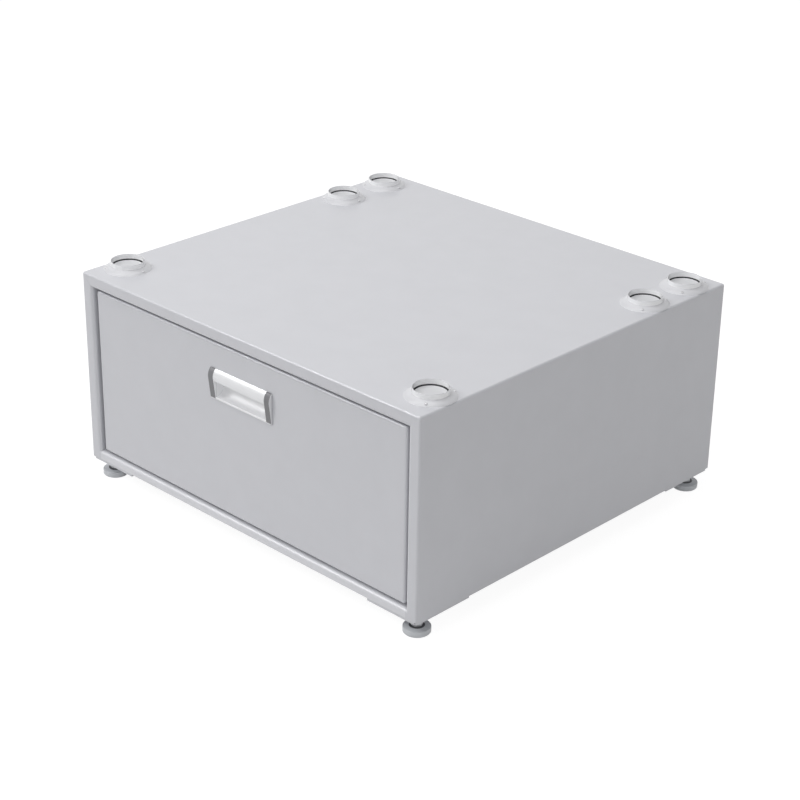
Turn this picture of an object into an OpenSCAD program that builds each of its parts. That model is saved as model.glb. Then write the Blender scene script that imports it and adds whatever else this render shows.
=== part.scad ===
// Washer pedestal with one full-width drawer, all sizes in millimetres.
// The cabinet is modelled with its front face at y = 0 and its lower edge at z = 0, and in_place()
// then sets it on its feet with the origin at the middle of the floor under it. The drawer opens
// towards -Y, and +X is the right-hand side seen from the front.

/* [Cabinet] */
// Width of the cabinet across its side walls
body_w = 600; // [540:10:700]
// Depth of the cabinet from front frame to rear flange
body_d = 563; // [560:1:640]
// Height of the cabinet without feet and cups
body_h = 264; // [255:1:340]
// Sheet thickness of the cabinet
sheet_t = 1.2; // [0.8:0.1:1.6]
// Outer bend radius between top and side walls
bend_r = 3; // [2:0.5:6]
// Outer bend radius between front frame and the walls behind it
face_r = 2; // [1.8:0.1:3]
// Width of the front frame on each side of the drawer
stile_w = 18; // [16:1:24]
// Height of the front frame above the drawer
head_h = 17.5; // [12:0.5:22]
// Depth that the frame's inner edge is folded back
lip_d = 12; // [8:1:14]
// Width of the flange under each side wall
base_flange_w = 30; // [30:1:40]
// Width of the flange round the rear opening
rear_flange_w = 15; // [12:1:18]
// Cut at the lower corners of the side walls
corner_cut = 4; // [1:0.5:6]
// Open joint where the frame's folded corners meet
mitre_gap = 0.4; // [0.2:0.1:0.8]

/* [Sill, rear rail and back] */
// Height of the sill under the drawer
sill_h = 12; // [10:1:20]
// Depth of the sill and of the rear rail
rail_d = 13; // [10:1:14]
// Height of the rear rail
rear_rail_h = 25; // [18:1:40]
// Height of the rear rail's upstand, which holds the back panel
upstand_h = 12; // [10:1:16]
// Thickness of the back panel
back_t = 0.8; // [0.6:0.1:1.2]
// Gap between the back panel and the walls
back_gap = 0.6; // [0.6:0.1:1]
// Head radius of the back panel's screws
back_head_r = 4; // [3:0.5:5]
// Head height of the back panel's screws
back_head_h = 1.6; // [1:0.1:3]
// Shank radius of the back panel's screws
back_screw_r = 1.9; // [1.5:0.1:2.2]
// Shank length of the back panel's screws
back_screw_l = 8; // [6:1:12]

/* [Feet] */
// Gap between the floor and the cabinet's lower edge
foot_gap = 27; // [26:0.5:34]
// Distance from the side wall's outside to the foot's axis
foot_inset_x = 20; // [19:0.5:22]
// Distance from the cabinet's front and rear to the foot's axis
foot_inset_y = 22.4; // [22:0.2:34]
// Radius of the foot's disc
disc_r = 17; // [12:0.5:19]
// Bevel round the disc's sole
disc_bevel = 1; // [0.4:0.1:2]
// Height of the disc's rim above the floor
disc_rim_h = 7.8; // [5:0.2:8.4]
// Height of the disc's raised middle above the floor
disc_mid_h = 9; // [8.6:0.2:10]
// Radius of the disc's raised middle
disc_mid_r = 8.4; // [7.6:0.2:10]
// Height of the socket's bottom above the floor
socket_z = 3; // [2:0.5:6]
// Radius of the levelling stud
stud_r = 4; // [3:0.5:4.5]
// Height of the stud's top above the cabinet's lower edge
stud_top = 6.5; // [4.5:0.1:6.6]
// Radial clearance of the stud in its nut and in the disc
stud_fit = 0.05; // [0.02:0.01:0.1]
// Radial clearance of the stud in the bracket and in the cabinet
stud_gap = 0.5; // [0.3:0.1:1]
// Distance across the flats of the stud's hexagon and of the weld nut
nut_af = 13; // [11:0.5:13]
// Height of the stud's hexagon
hex_h = 6; // [4:0.5:6]
// Height of the weld nut
nut_h = 5; // [3:0.5:5]
// Thickness of the corner bracket
bracket_t = 3; // [1.5:0.5:3]
// Length of the corner bracket along the front
bracket_x = 80; // [60:5:120]
// Length of the corner bracket along the side
bracket_y = 90; // [60:5:120]
// Arm width of the corner bracket
bracket_arm = 44; // [36:1:50]
// Set-back of the corner bracket from the outer faces
bracket_inset = 1; // [0.5:0.5:3]

/* [Cups for the appliance feet] */
// Distance from the side wall's outside to the cup's axis
cup_inset_x = 31.5; // [31.5:0.5:60]
// Distance from the front face to the front cups
cup_front_y = 50; // [40:1:120]
// Distance from the rear face to the rear cups
cup_rear_y = 44; // [42:1:60]
// Spacing between the rear and the middle cups
cup_pitch_y = 81; // [66:1:140]
// Radius of the cup's seat
cup_r = 21; // [16:0.5:21.5]
// Wall thickness of the cup's collar
cup_wall = 1.2; // [0.8:0.1:1.4]
// Height of the collar above the top panel
cup_h = 11; // [9:0.5:16]
// Radius of the cup's flange
cup_flange_r = 31.3; // [30.5:0.1:31.5]
// Thickness of the cup's flange
cup_flange_t = 1.8; // [1:0.1:2]
// Fillet radius between flange and collar
cup_fillet_r = 3.2; // [2:0.2:3.2]
// Width of the ledge under the seat
cup_ledge_w = 1; // [0.6:0.1:2]
// Height of the ledge, level with the pad's top
cup_ledge_h = 3.5; // [2:0.5:5]
// Radial gap between the pad and the ledge
pad_gap = 0.4; // [0.3:0.1:1]
// Radius of the circle that the rivets sit on
rivet_pc_r = 27.8; // [27.8:0.1:28.4]
// Head radius of the rivets
rivet_head_r = 2; // [1.8:0.1:2.1]
// Head height of the rivets
rivet_head_h = 1.2; // [0.8:0.1:1.8]
// Shank radius of the rivets
rivet_r = 1.4; // [1:0.1:1.6]

/* [Drawer front] */
// Set-back of the drawer front behind the frame
front_recess = 3.8; // [1:0.2:6]
// Gap between drawer front and frame at each side
front_gap_side = 5; // [3:0.5:8]
// Gap between drawer front and frame at the top
front_gap_top = 3.5; // [2:0.5:6]
// Gap between drawer front and sill
front_gap_low = 2.6; // [2:0.2:6]
// Depth of the drawer front
front_d = 20; // [20:1:26]
// Sheet thickness of the drawer front
front_t = 1; // [0.8:0.1:1.2]
// Bend radius round the drawer front's edges
front_r = 2.4; // [1.6:0.2:4]
// Width of the flange round the back of the drawer front
front_flange_w = 9; // [6:1:12]
// Thickness of the liner that closes the drawer front
liner_t = 0.8; // [0.6:0.1:1.2]
// Set-back of the liner's edge from the drawer front's edge
liner_inset = 1; // [0.5:0.5:2]

/* [Drawer tray] */
// Sheet thickness of the tray
tray_t = 1; // [0.8:0.1:1.2]
// Depth that the cabinet keeps for the drawer front and for the space behind the tray
tray_clear = 63; // [63:1:160]
// Depth of the tray, and length of its slides
tray_d = body_d - tray_clear;
// Height of the tray's underside above the cabinet's lower edge
tray_low_z = 20; // [16:1:30]
// Height of the tray's sides
tray_h = 185; // [150:5:190]
// Width of the edge that is folded outwards along the top of the tray's sides
tray_top_w = 8; // [5:1:8]
// Width of the flanges that hold the tray's sides to the drawer front
tray_flange_w = 15; // [12:1:20]
// Depth of the folds under the tray's bottom and behind its back
tray_fold = 10; // [8:1:14]

/* [Slides] */
// Height of the slides
slide_h = 45; // [45:1:46]
// Thickness of a slide from wall side to drawer side
slide_w = 12.7; // [12.7:0.1:13]
// Height of the slides' middle above the cabinet's lower edge
slide_z = 100; // [85:5:140]
// Gap between the frame's inner edge and the slide, seen from the front
slide_gap = 0.5; // [0.3:0.1:1]
// Sheet thickness of the slide's outer member
outer_t = 1.2; // [1:0.1:1.2]
// Sheet thickness of the middle and inner members
member_t = 1; // [0.8:0.1:1]
// Radius of the bearing balls
ball_r = 1.5; // [1.2:0.1:1.5]
// Gap between a ball and its raceways
ball_gap = 0.3; // [0.2:0.05:0.3]
// Number of balls in each row
ball_count = 10; // [6:1:14]
// Length of a ball cage
cage_l = 240; // [160:10:240]
// Sheet thickness of a ball cage's web
cage_t = 0.5; // [0.4:0.1:0.5]
// Height of the rail support's web
support_h = 60; // [50:5:80]
// Sheet thickness of the rail support
support_t = 1.5; // [1:0.1:2]
// Width of the rail support's feet on the side wall
support_foot_w = 12; // [10:1:20]
// Shank radius of the slides' screws
slide_screw_r = 2; // [1.5:0.1:2.4]
// Head radius of the slides' screws
slide_head_r = 3.8; // [3:0.1:4.4]
// Head height of the slides' screws
slide_head_h = 2; // [1:0.1:2.4]
// Distance from the slide's ends to the end screws
slide_screw_end = 45; // [30:1:70]

/* [Handle] */
// Width of the handle with its caps
handle_w = 110; // [90:5:160]
// Height of the handle
handle_h = 41; // [41:1:46]
// Distance from the drawer front's top edge to the handle
handle_drop = 34; // [24:1:80]
// Width of each end cap
cap_w = 9; // [7:1:14]
// Distance that the lip stands out of the drawer front
lip_out = 5.2; // [4.4:0.1:6]
// Distance that the caps stand out further than the lip
cap_proud = 0.4; // [0.2:0.1:0.8]
// Radius of the lip's bulge
lip_bulge_r = 14; // [13:0.5:16]
// Distance from the handle's top down to the bulge's centre
lip_bulge_drop = 10.5; // [9:0.5:12]
// Distance from the handle's top down to the hollow behind the lip
lip_hollow_drop = 2.5; // [2.5:0.1:3]
// Wall thickness of the handle's profile
handle_t = 1.6; // [1.2:0.1:1.8]
// Radius of the scoop under the lip
scoop_r = 14.5; // [13.5:0.1:14.6]
// Height of the lip's free edge above the handle's lower edge
lip_edge_v = 25; // [22:1:28]
// Overlap of the handle's rim on the drawer front
rim_overlap = 1; // [0.8:0.1:1.2]
// Shank radius of the handle's screws
handle_screw_r = 1.9; // [1.5:0.1:2.1]
// Head radius of the handle's screws
handle_head_r = 3.6; // [3:0.1:4]
// Head height of the handle's screws
handle_head_h = 1.8; // [1:0.1:2.2]

/* [Hidden] */
$fn = 64;
over = 1;                     // how far a cutting shape runs past what it cuts
screw_fit = 0.1;              // radial clearance round a screw or rivet
lap = 0.02;                   // how far one solid of a node runs into the next

panel_grey = [0.83, 0.835, 0.85];
inner_grey = [0.78, 0.785, 0.8];
foot_grey = [0.75, 0.77, 0.79];
pad_grey = [0.8, 0.805, 0.815];
cap_grey = [0.45, 0.45, 0.47];
rubber_grey = [0.25, 0.25, 0.26];
aluminium = [0.92, 0.925, 0.94];
zinc = [0.72, 0.73, 0.75];

SIDES = [["left", -1], ["right", 1]];

// handle, measured from the drawer front's face: u is outwards, v is up from the handle's lower edge
lip_reach = lip_out + cap_proud;
lip_over = lip_reach - front_recess;
scoop_u = 0.9;
scoop_foot_v = 2.8;
scoop_v = scoop_r + scoop_foot_v;
scoop_end_a = 266;
scoop_back_u = scoop_u - scoop_r;
top_r = 5;
top_v = handle_h - lip_hollow_drop;
bulge_u = lip_out - lip_bulge_r;
bulge_v = handle_h - lip_bulge_drop;
bulge_top_a = asin((handle_h - bulge_v) / lip_bulge_r);
bulge_low_a = asin((lip_edge_v - bulge_v) / lip_bulge_r);
bulge_in_a = asin((top_v - bulge_v) / (lip_bulge_r - handle_t));
rim_u = 1.6;
rim_edge = 0.4;
rim_ease = 0.2;
cap_play = 0.2;

// cabinet
front_y = -(body_d + back_head_h - lip_over) / 2;
open_x = body_w / 2 - stile_w;
open_top_z = body_h - head_h;
wall_x = body_w / 2 - sheet_t;
back_y = body_d - sheet_t - back_t;
sill_bend_r = sheet_t + 0.2;
rear_open_x = body_w / 2 - rear_flange_w;

// cups: side, distance from the front face, name
cup_x = body_w / 2 - cup_inset_x;
cup_back_y = body_d - cup_rear_y;
CUP_ROWS = [["front", cup_front_y], ["middle", cup_back_y - cup_pitch_y], ["rear", cup_back_y]];
RIVET_ANGLES = [5, 120, 238];

// feet
foot_x = body_w / 2 - foot_inset_x;
FOOT_ROWS = [["front", foot_inset_y], ["rear", body_d - foot_inset_y]];

// drawer front
front_w = 2 * (open_x - front_gap_side);
front_low_z = sill_h + front_gap_low;
front_h = open_top_z - front_gap_top - front_low_z;
front_back_y = front_recess + front_d;
liner_y = front_back_y - liner_t;

// handle
handle_z = front_low_z + front_h - handle_drop - handle_h;
handle_mid_z = handle_z + handle_h / 2;
bar_w = handle_w - 2 * cap_w;
cap_x = bar_w / 2 + cap_w / 2;
cap_back_u = scoop_back_u - handle_t - rim_edge;
cap_screw_rise = 2;
cap_screw_v = scoop_v + cap_screw_rise;
cut_w = handle_w - 2 * rim_overlap;
cut_low_v = rim_overlap;
cut_top_v = handle_h - rim_overlap;

// slides, measured from the slide's wall side inwards
slide_l = tray_d;
slide_front_gap = 1.2;
slide_x = open_x - slide_gap;
slide_y = front_back_y + slide_front_gap;
tray_x = slide_x - slide_w;
cage_gap = 0.4;
outer_tip_gap = 3;
middle_tip_gap = 1;
outer_cage_s = outer_t + cage_gap;
middle_s = outer_cage_s + cage_t + cage_gap;
inner_cage_s = middle_s + member_t + cage_gap;
inner_tip_s = inner_cage_s + cage_t + cage_gap;
outer_tip_s = slide_w - outer_tip_gap;
middle_tip_s = slide_w - member_t - middle_tip_gap;
outer_ball_s = 6;
inner_ball_s = 7.5;
race = 2 * (ball_r + ball_gap);
outer_in_h = slide_h - 2 * outer_t;
middle_out_h = outer_in_h - 2 * race;
middle_in_h = middle_out_h - 2 * member_t;
inner_out_h = middle_in_h - 2 * race;
leg_t = 0.8;
leg_reach = ball_r + 0.7;
ball_play = 0.15;
cage_y = slide_y + (slide_l - cage_l) / 2;
middle_play = 5;
stop_l = 5;
stop_h = inner_out_h + 2;
SLIDE_SCREWS_Y = [slide_y + slide_screw_end, slide_y + slide_l / 2, slide_y + slide_l - slide_screw_end];
support_front_gap = 3;
support_rear = 8;
support_y = lip_d + support_front_gap;
support_l = slide_y + slide_l - support_y + support_rear;

// tray
tray_y = front_back_y;
tray_back_y = tray_y + tray_d;
tray_top_z = tray_low_z + tray_h;
tray_in_x = tray_x - tray_t;
tray_floor_z = tray_low_z + tray_fold;

// Back panel screws: along the rear rail, along the top and down both sides
back_row_x = body_w / 3;
back_row_z = [body_h * 0.36, body_h * 0.72];
back_low_z = rear_rail_h + upstand_h / 2;
back_top_z = body_h - rear_flange_w / 2;
back_side_x = body_w / 2 - rear_flange_w / 2;
BACK_SCREWS = concat(
    [for (x = [-back_row_x, 0, back_row_x], z = [back_low_z, back_top_z]) [x, z]],
    [for (x = [-back_side_x, back_side_x], z = back_row_z) [x, z]]);

// Screws between the liner and the tray's front flanges
tray_screw_x = tray_in_x - tray_flange_w / 2;
tray_screw_z = [tray_h * 0.2, tray_h * 0.5, tray_h * 0.8];
tray_screw_in = 6;
handle_screw_in = 7;
TRAY_SCREWS = [for (x = [-tray_screw_x, tray_screw_x], z = tray_screw_z) [x, tray_low_z + z]];
HANDLE_SCREWS = [for (s = [-1, 1]) [s * cap_x, handle_z + cap_screw_v]];

function arc(cx, cy, r, from, to, steps = 12) =
    [for (i = [0:steps]) let (a = from + (to - from) * i / steps) [cx + r * cos(a), cy + r * sin(a)]];

// Sets a piece from the cabinet's own frame into the part's frame
module in_place() { translate([0, front_y, foot_gap]) children(); }

// Mirrors a right-hand piece to the given side
module on_side(s) { mirror([s < 0 ? 1 : 0, 0, 0]) children(); }

// Extrusions of a flat shape: along Y it lies in X-Z, along X it lies in Y-Z
module along_y(d) { translate([0, d, 0]) rotate([90, 0, 0]) linear_extrude(d) children(); }
module along_x(w) { rotate([90, 0, 90]) linear_extrude(w, center = true) children(); }

// A box from its low corner and size, and one that is centred on x = 0
module box(at, size) { translate(at) cube(size); }
module wide_box(w, y, d, z, h) { translate([-w / 2, y, z]) cube([w, d, h]); }

// Rectangle standing on y = 0, centred on x = 0, with both upper corners rounded
module arched(w, h, r) {
    translate([-w / 2, 0]) square([w, h - r]);
    translate([-w / 2 + r, 0]) square([w - 2 * r, h]);
    for (s = [-1, 1]) translate([s * (w / 2 - r), h - r]) circle(r);
}

// Rectangle from the origin with its corner at (0, h) rounded
module one_round(w, h, r) {
    square([w, h - r]);
    translate([r, 0]) square([w - r, h]);
    translate([r, h - r]) circle(r);
}

// Rectangle from the origin with both corners at x = 0 rounded
module two_round(w, h, r) {
    translate([r, 0]) square([w - r, h]);
    translate([0, r]) square([w, h - 2 * r]);
    for (z = [r, h - r]) translate([r, z]) circle(r);
}

// Cabinet block with rounded top edges and a rounded front: the common part of three extrusions
module soft_block(w, y0, y1, h, top_r, front_r) {
    intersection() {
        translate([0, y0, 0]) along_y(y1 - y0) arched(w, h, top_r);
        linear_extrude(h) translate([0, y1]) mirror([0, 1]) arched(w, y1 - y0, front_r);
        along_x(w) translate([y0, 0]) one_round(y1 - y0, h, front_r);
    }
}

// Cylinder along Y or X, from a start and over a length
module rod_y(x, y, z, r, l) { translate([x, y + l, z]) rotate([90, 0, 0]) cylinder(r = r, h = l); }
module rod_x(x, y, z, r, l) { translate([x, y, z]) rotate([0, 90, 0]) cylinder(r = r, h = l); }

// ---- Cabinet ----

// Open joint from the frame's inner corner to its outer corner
module mitre_cut(s) {
    translate([s * body_w / 2, 0, body_h]) rotate([0, -s * atan(head_h / stile_w), 0])
        translate([-2 * stile_w, -over, -mitre_gap / 2])
            cube([4 * stile_w, sheet_t + over, mitre_gap]);
}

module frame_lips() {
    for (s = SIDES) on_side(s[1]) box([open_x, 0, 0], [sheet_t, lip_d, open_top_z]);
    wide_box(2 * (open_x + sheet_t), 0, lip_d, open_top_z, sheet_t);
}

module corner_notch(s, y) {
    side = corner_cut * sqrt(2);
    translate([s * wall_x, y, 0]) rotate([45, 0, 0]) cube([4 * sheet_t, side, side], center = true);
}

module back_screw_holes() {
    for (p = BACK_SCREWS)
        rod_y(p[0], back_y - over, p[1], back_screw_r + screw_fit, sheet_t + back_t + 2 * over);
}

module cabinet_shell() {
    cut_t = sheet_t + 2 * over;
    color(panel_grey) in_place() difference() {
        union() {
            difference() {
                soft_block(body_w, 0, body_d, body_h, bend_r, face_r);
                translate([0, 0, sheet_t])
                    soft_block(2 * wall_x, sheet_t, body_d - sheet_t, body_h - 2 * sheet_t,
                               bend_r - sheet_t, face_r - sheet_t);
                wide_box(2 * open_x, -over, rail_d + over, -over, open_top_z + over);
                wide_box(2 * rear_open_x, body_d - rail_d, rail_d + over,
                         -over, body_h - rear_flange_w + over);
                wide_box(body_w - 2 * base_flange_w, -over, body_d + 2 * over, -over, cut_t);
            }
            frame_lips();
        }
        for (s = [-1, 1]) {
            mitre_cut(s);
            for (y = [0, body_d]) corner_notch(s, y);
            for (r = FOOT_ROWS)
                translate([s * foot_x, r[1], -over]) cylinder(r = stud_r + stud_gap, h = cut_t);
        }
        rivet_places() translate([0, 0, -sheet_t - over]) cylinder(r = rivet_r + screw_fit, h = cut_t);
        back_screw_holes();
    }
}

module front_sill() {
    color(panel_grey) in_place() along_x(2 * open_x) difference() {
        one_round(rail_d, sill_h, sill_bend_r);
        translate([sheet_t, sheet_t]) square([rail_d, sill_h - 2 * sheet_t]);
    }
}

module rear_rail() {
    color(panel_grey) in_place() difference() {
        along_x(2 * rear_open_x) difference() {
            union() {
                translate([body_d - rail_d, 0]) square([rail_d, rear_rail_h]);
                translate([body_d - sheet_t, 0]) square([sheet_t, rear_rail_h + upstand_h]);
            }
            translate([body_d - rail_d - over, sheet_t])
                square([rail_d - sheet_t + over, rear_rail_h - 2 * sheet_t]);
        }
        back_screw_holes();
    }
}

module back_panel() {
    low_z = rear_rail_h + back_gap / 2;
    color(inner_grey) in_place() difference() {
        wide_box(2 * (wall_x - back_gap), back_y, back_t, low_z, body_h - sheet_t - back_gap - low_z);
        back_screw_holes();
    }
}

module back_panel_screws() {
    color(zinc) in_place() for (p = BACK_SCREWS) {
        rod_y(p[0], body_d, p[1], back_head_r, back_head_h);
        rod_y(p[0], body_d - back_screw_l, p[1], back_screw_r, back_screw_l + back_head_h / 2);
    }
}

// ---- Feet ----

module foot_bracket(row, s) {
    far = row == "rear" ? 1 : 0;
    x1 = body_w / 2 - bracket_inset;
    x0 = x1 - bracket_x;
    y0 = bracket_inset;
    y1 = y0 + bracket_y;
    color(panel_grey) in_place() on_side(s) translate([0, far * body_d, -bracket_t]) mirror([0, far, 0])
        difference() {
            linear_extrude(bracket_t) polygon([
                [x0, y0], [x1 - corner_cut, y0], [x1, y0 + corner_cut], [x1, y1],
                [x1 - bracket_arm / 2, y1], [x1 - bracket_arm, y0 + bracket_arm],
                [x0, y0 + bracket_arm / 2]]);
            translate([foot_x, foot_inset_y, -over])
                cylinder(r = stud_r + stud_gap, h = bracket_t + 2 * over);
        }
}

module hexagon(h) { rotate([0, 0, 30]) cylinder(r = nut_af / 2 / cos(30), h = h, $fn = 6); }

module foot_weld_nuts() {
    color(zinc) in_place() for (r = FOOT_ROWS, s = SIDES)
        translate([s[1] * foot_x, r[1], sheet_t]) difference() {
            hexagon(nut_h);
            translate([0, 0, -over]) cylinder(r = stud_r + stud_fit, h = nut_h + 2 * over);
        }
}

module foot_stud(y, s) {
    color(zinc) in_place() translate([s * foot_x, y, -foot_gap]) {
        translate([0, 0, socket_z]) cylinder(r = stud_r, h = foot_gap + stud_top - socket_z);
        translate([0, 0, disc_mid_h]) hexagon(hex_h);
    }
}

module foot_disc(y, s) {
    edge = 0.6;
    socket_r = stud_r + stud_fit;
    color(foot_grey) in_place() translate([s * foot_x, y, -foot_gap]) rotate_extrude() polygon([
        [0, 0], [disc_r - disc_bevel, 0], [disc_r, disc_bevel], [disc_r, disc_rim_h - edge],
        [disc_r - edge, disc_rim_h], [disc_mid_r, disc_mid_h],
        [socket_r, disc_mid_h], [socket_r, socket_z], [0, socket_z]]);
}

// ---- Cups ----

// Repeats the children at each rivet, with z = 0 on the top panel
module rivet_places() {
    for (r = CUP_ROWS, s = SIDES) on_side(s[1]) translate([cup_x, r[1], body_h])
        for (a = RIVET_ANGLES) rotate([0, 0, 180 - a]) translate([rivet_pc_r, 0, 0]) children();
}

module cup(y, s) {
    rim_z = cup_h - cup_wall / 2;
    fillet_x = cup_r + cup_wall + cup_fillet_r;
    fillet_z = cup_flange_t + cup_fillet_r;
    color(panel_grey) in_place() on_side(s) translate([cup_x, y, body_h]) difference() {
        rotate_extrude() difference() {
            union() {
                translate([cup_r - cup_ledge_w, 0]) square([cup_ledge_w + cup_wall, cup_ledge_h]);
                translate([cup_r, 0]) square([cup_flange_r - cup_r, cup_flange_t]);
                translate([cup_r, 0]) square([fillet_x - cup_r, fillet_z]);
                translate([cup_r, 0]) square([cup_wall, rim_z]);
                translate([cup_r + cup_wall / 2, rim_z]) circle(cup_wall / 2);
            }
            translate([fillet_x, fillet_z]) circle(cup_fillet_r);
        }
        for (a = RIVET_ANGLES) rotate([0, 0, 180 - a]) translate([rivet_pc_r, 0, -over])
            cylinder(r = rivet_r + screw_fit, h = cup_flange_t + 2 * over);
    }
}

module cup_pad(y, s) {
    color(pad_grey) in_place() translate([s * cup_x, y, body_h])
        cylinder(r = cup_r - cup_ledge_w - pad_gap, h = cup_ledge_h);
}

module cup_rivets() {
    tail_r = rivet_r + 0.6;
    tail_z = -sheet_t - 1;
    color(aluminium) in_place() rivet_places() rotate_extrude() polygon(concat(
        [[0, tail_z], [tail_r, tail_z], [tail_r, -sheet_t], [rivet_r, -sheet_t],
         [rivet_r, cup_flange_t], [rivet_head_r, cup_flange_t]],
        [for (a = [15:15:90]) [rivet_head_r * cos(a), cup_flange_t + rivet_head_h * sin(a)]]));
}

// ---- Slides, drawn for the right-hand side ----

// A member's plate across the slide, from s0 to s1 inwards and of the given height
module slide_web(s0, s1, h, y, l) { box([slide_x - s1, y, slide_z - h / 2], [s1 - s0, l, h]); }

// The two flanges of a member: outer height h, thickness t, from s0 to s1 inwards
module slide_flanges(s0, s1, h, t, y, l) {
    for (z = [slide_z + h / 2 - t, slide_z - h / 2]) box([slide_x - s1, y, z], [s1 - s0, l, t]);
}

module slide_support(s) {
    low = slide_z - support_h / 2;
    color(panel_grey) in_place() on_side(s) difference() {
        translate([0, support_y, 0]) along_y(support_l) difference() {
            union() {
                translate([slide_x, low]) square([wall_x - slide_x, support_h]);
                translate([wall_x - support_t, low - support_foot_w])
                    square([support_t, support_h + 2 * support_foot_w]);
            }
            translate([slide_x + support_t, low + support_t])
                square([wall_x - slide_x, support_h - 2 * support_t]);
        }
        for (y = SLIDE_SCREWS_Y)
            rod_x(slide_x - over, y, slide_z, slide_screw_r + screw_fit, support_t + 2 * over);
    }
}

module slide_outer(s) {
    lip = 0.9;
    color(zinc) in_place() on_side(s) difference() {
        union() {
            slide_web(0, outer_t, slide_h, slide_y, slide_l);
            slide_flanges(0, outer_tip_s, slide_h, outer_t, slide_y, slide_l);
            slide_flanges(outer_tip_s - outer_t / 2, outer_tip_s, slide_h - 2 * outer_t + lap, lip,
                          slide_y, slide_l);
        }
        for (y = SLIDE_SCREWS_Y)
            rod_x(slide_x - outer_t - over, y, slide_z, slide_screw_r + screw_fit, outer_t + 2 * over);
    }
}

module slide_middle(s) {
    color(zinc) in_place() on_side(s) {
        slide_web(middle_s, middle_s + member_t, middle_out_h, slide_y, slide_l - middle_play);
        slide_flanges(middle_s, middle_tip_s, middle_out_h, member_t, slide_y, slide_l - middle_play);
    }
}

module slide_inner(s) {
    color(zinc) in_place() on_side(s) difference() {
        union() {
            slide_web(slide_w - member_t, slide_w, inner_out_h, slide_y, slide_l);
            slide_flanges(inner_tip_s, slide_w, inner_out_h, member_t, slide_y, slide_l);
        }
        for (y = SLIDE_SCREWS_Y)
            rod_x(tray_x - over, y, slide_z, slide_screw_r + screw_fit, member_t + 2 * over);
    }
}

// Cage strip with a row of balls above and below
module ball_cage(s, web_s, ball_s, race_h) {
    row_z = race_h / 2 + ball_r + ball_gap;
    step = cage_l / ball_count;
    color(zinc) in_place() on_side(s) {
        difference() {
            union() {
                slide_web(web_s, web_s + cage_t, 2 * row_z, cage_y, cage_l);
                for (m = [-1, 1])
                    box([slide_x - ball_s - leg_reach, cage_y, slide_z + m * row_z - leg_t / 2],
                        [ball_s + leg_reach - web_s, cage_l, leg_t]);
            }
            for (m = [-1, 1], i = [0:ball_count - 1])
                translate([slide_x - ball_s, cage_y + (i + 0.5) * step, slide_z + m * row_z - leg_t])
                    cylinder(r = ball_r + ball_play, h = 2 * leg_t);
        }
        for (m = [-1, 1], i = [0:ball_count - 1])
            translate([slide_x - ball_s, cage_y + (i + 0.5) * step, slide_z + m * row_z]) sphere(ball_r);
    }
}

module slide_stops() {
    color(rubber_grey) in_place() for (s = SIDES) on_side(s[1])
        slide_web(0, outer_tip_s, stop_h, slide_y + slide_l, stop_l);
}

module slide_screws() {
    color(zinc) in_place() for (s = SIDES, y = SLIDE_SCREWS_Y) on_side(s[1]) {
        rod_x(slide_x - outer_t, y, slide_z, slide_screw_r, outer_t + support_t + slide_head_h / 2);
        rod_x(slide_x + support_t, y, slide_z, slide_head_r, slide_head_h);
    }
}

// ---- Drawer ----

// Slab with its front edges and upright corners rounded: the common part of three extrusions
module soft_slab(w, h, y0, y1, r) {
    intersection() {
        translate([0, y0, 0]) along_y(y1 - y0) union() {
            translate([-w / 2, r]) square([w, h - 2 * r]);
            translate([-w / 2 + r, 0]) square([w - 2 * r, h]);
            for (x = [r - w / 2, w / 2 - r], z = [r, h - r]) translate([x, z]) circle(r);
        }
        linear_extrude(h) translate([0, y1]) mirror([0, 1]) arched(w, y1 - y0, r);
        along_x(w) translate([y0, 0]) two_round(y1 - y0, h, r);
    }
}

module drawer_front() {
    least_r = 0.6;
    inner_r = max(front_r - front_t, least_r);
    window = front_t + front_flange_w;
    color(panel_grey) in_place() translate([0, 0, front_low_z]) difference() {
        soft_slab(front_w, front_h, front_recess, liner_y, front_r);
        translate([0, 0, front_t]) soft_slab(front_w - 2 * front_t, front_h - 2 * front_t,
                                             front_recess + front_t, liner_y - front_t, inner_r);
        wide_box(front_w - 2 * window, front_recess + front_d / 2, front_d, window, front_h - 2 * window);
        wide_box(cut_w, front_recess - over, front_t + 2 * over,
                 handle_z - front_low_z + cut_low_v, cut_top_v - cut_low_v);
    }
}

module drawer_front_liner() {
    color(panel_grey) in_place() difference() {
        wide_box(front_w - 2 * liner_inset, liner_y, liner_t,
                 front_low_z + liner_inset, front_h - 2 * liner_inset);
        for (p = HANDLE_SCREWS)
            rod_y(p[0], liner_y - over, p[1], handle_screw_r + screw_fit, liner_t + 2 * over);
        for (p = TRAY_SCREWS)
            rod_y(p[0], liner_y - over, p[1], slide_screw_r + screw_fit, liner_t + 2 * over);
    }
}

module drawer_side(s) {
    color(inner_grey) in_place() on_side(s) difference() {
        union() {
            box([tray_in_x, tray_y, tray_low_z], [tray_t, tray_d, tray_h]);
            box([tray_in_x, tray_y, tray_top_z - tray_t], [tray_top_w, tray_d, tray_t]);
            box([tray_x - tray_flange_w, tray_y, tray_low_z], [tray_flange_w, tray_t, tray_h]);
        }
        for (y = SLIDE_SCREWS_Y)
            rod_x(tray_in_x - over, y, slide_z, slide_screw_r + screw_fit, tray_t + 2 * over);
        for (p = TRAY_SCREWS)
            rod_y(abs(p[0]), tray_y - over, p[1], slide_screw_r + screw_fit, tray_t + 2 * over);
    }
}

// The back's sides and top are folded to the rear, away from the inside
module drawer_back() {
    y = tray_back_y - tray_fold;
    h = tray_top_z - tray_floor_z;
    color(inner_grey) in_place() difference() {
        wide_box(2 * tray_in_x, y, tray_fold, tray_floor_z, h);
        wide_box(2 * (tray_in_x - tray_t), y + tray_t, tray_fold, tray_floor_z - over, h - tray_t + over);
    }
}

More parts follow.
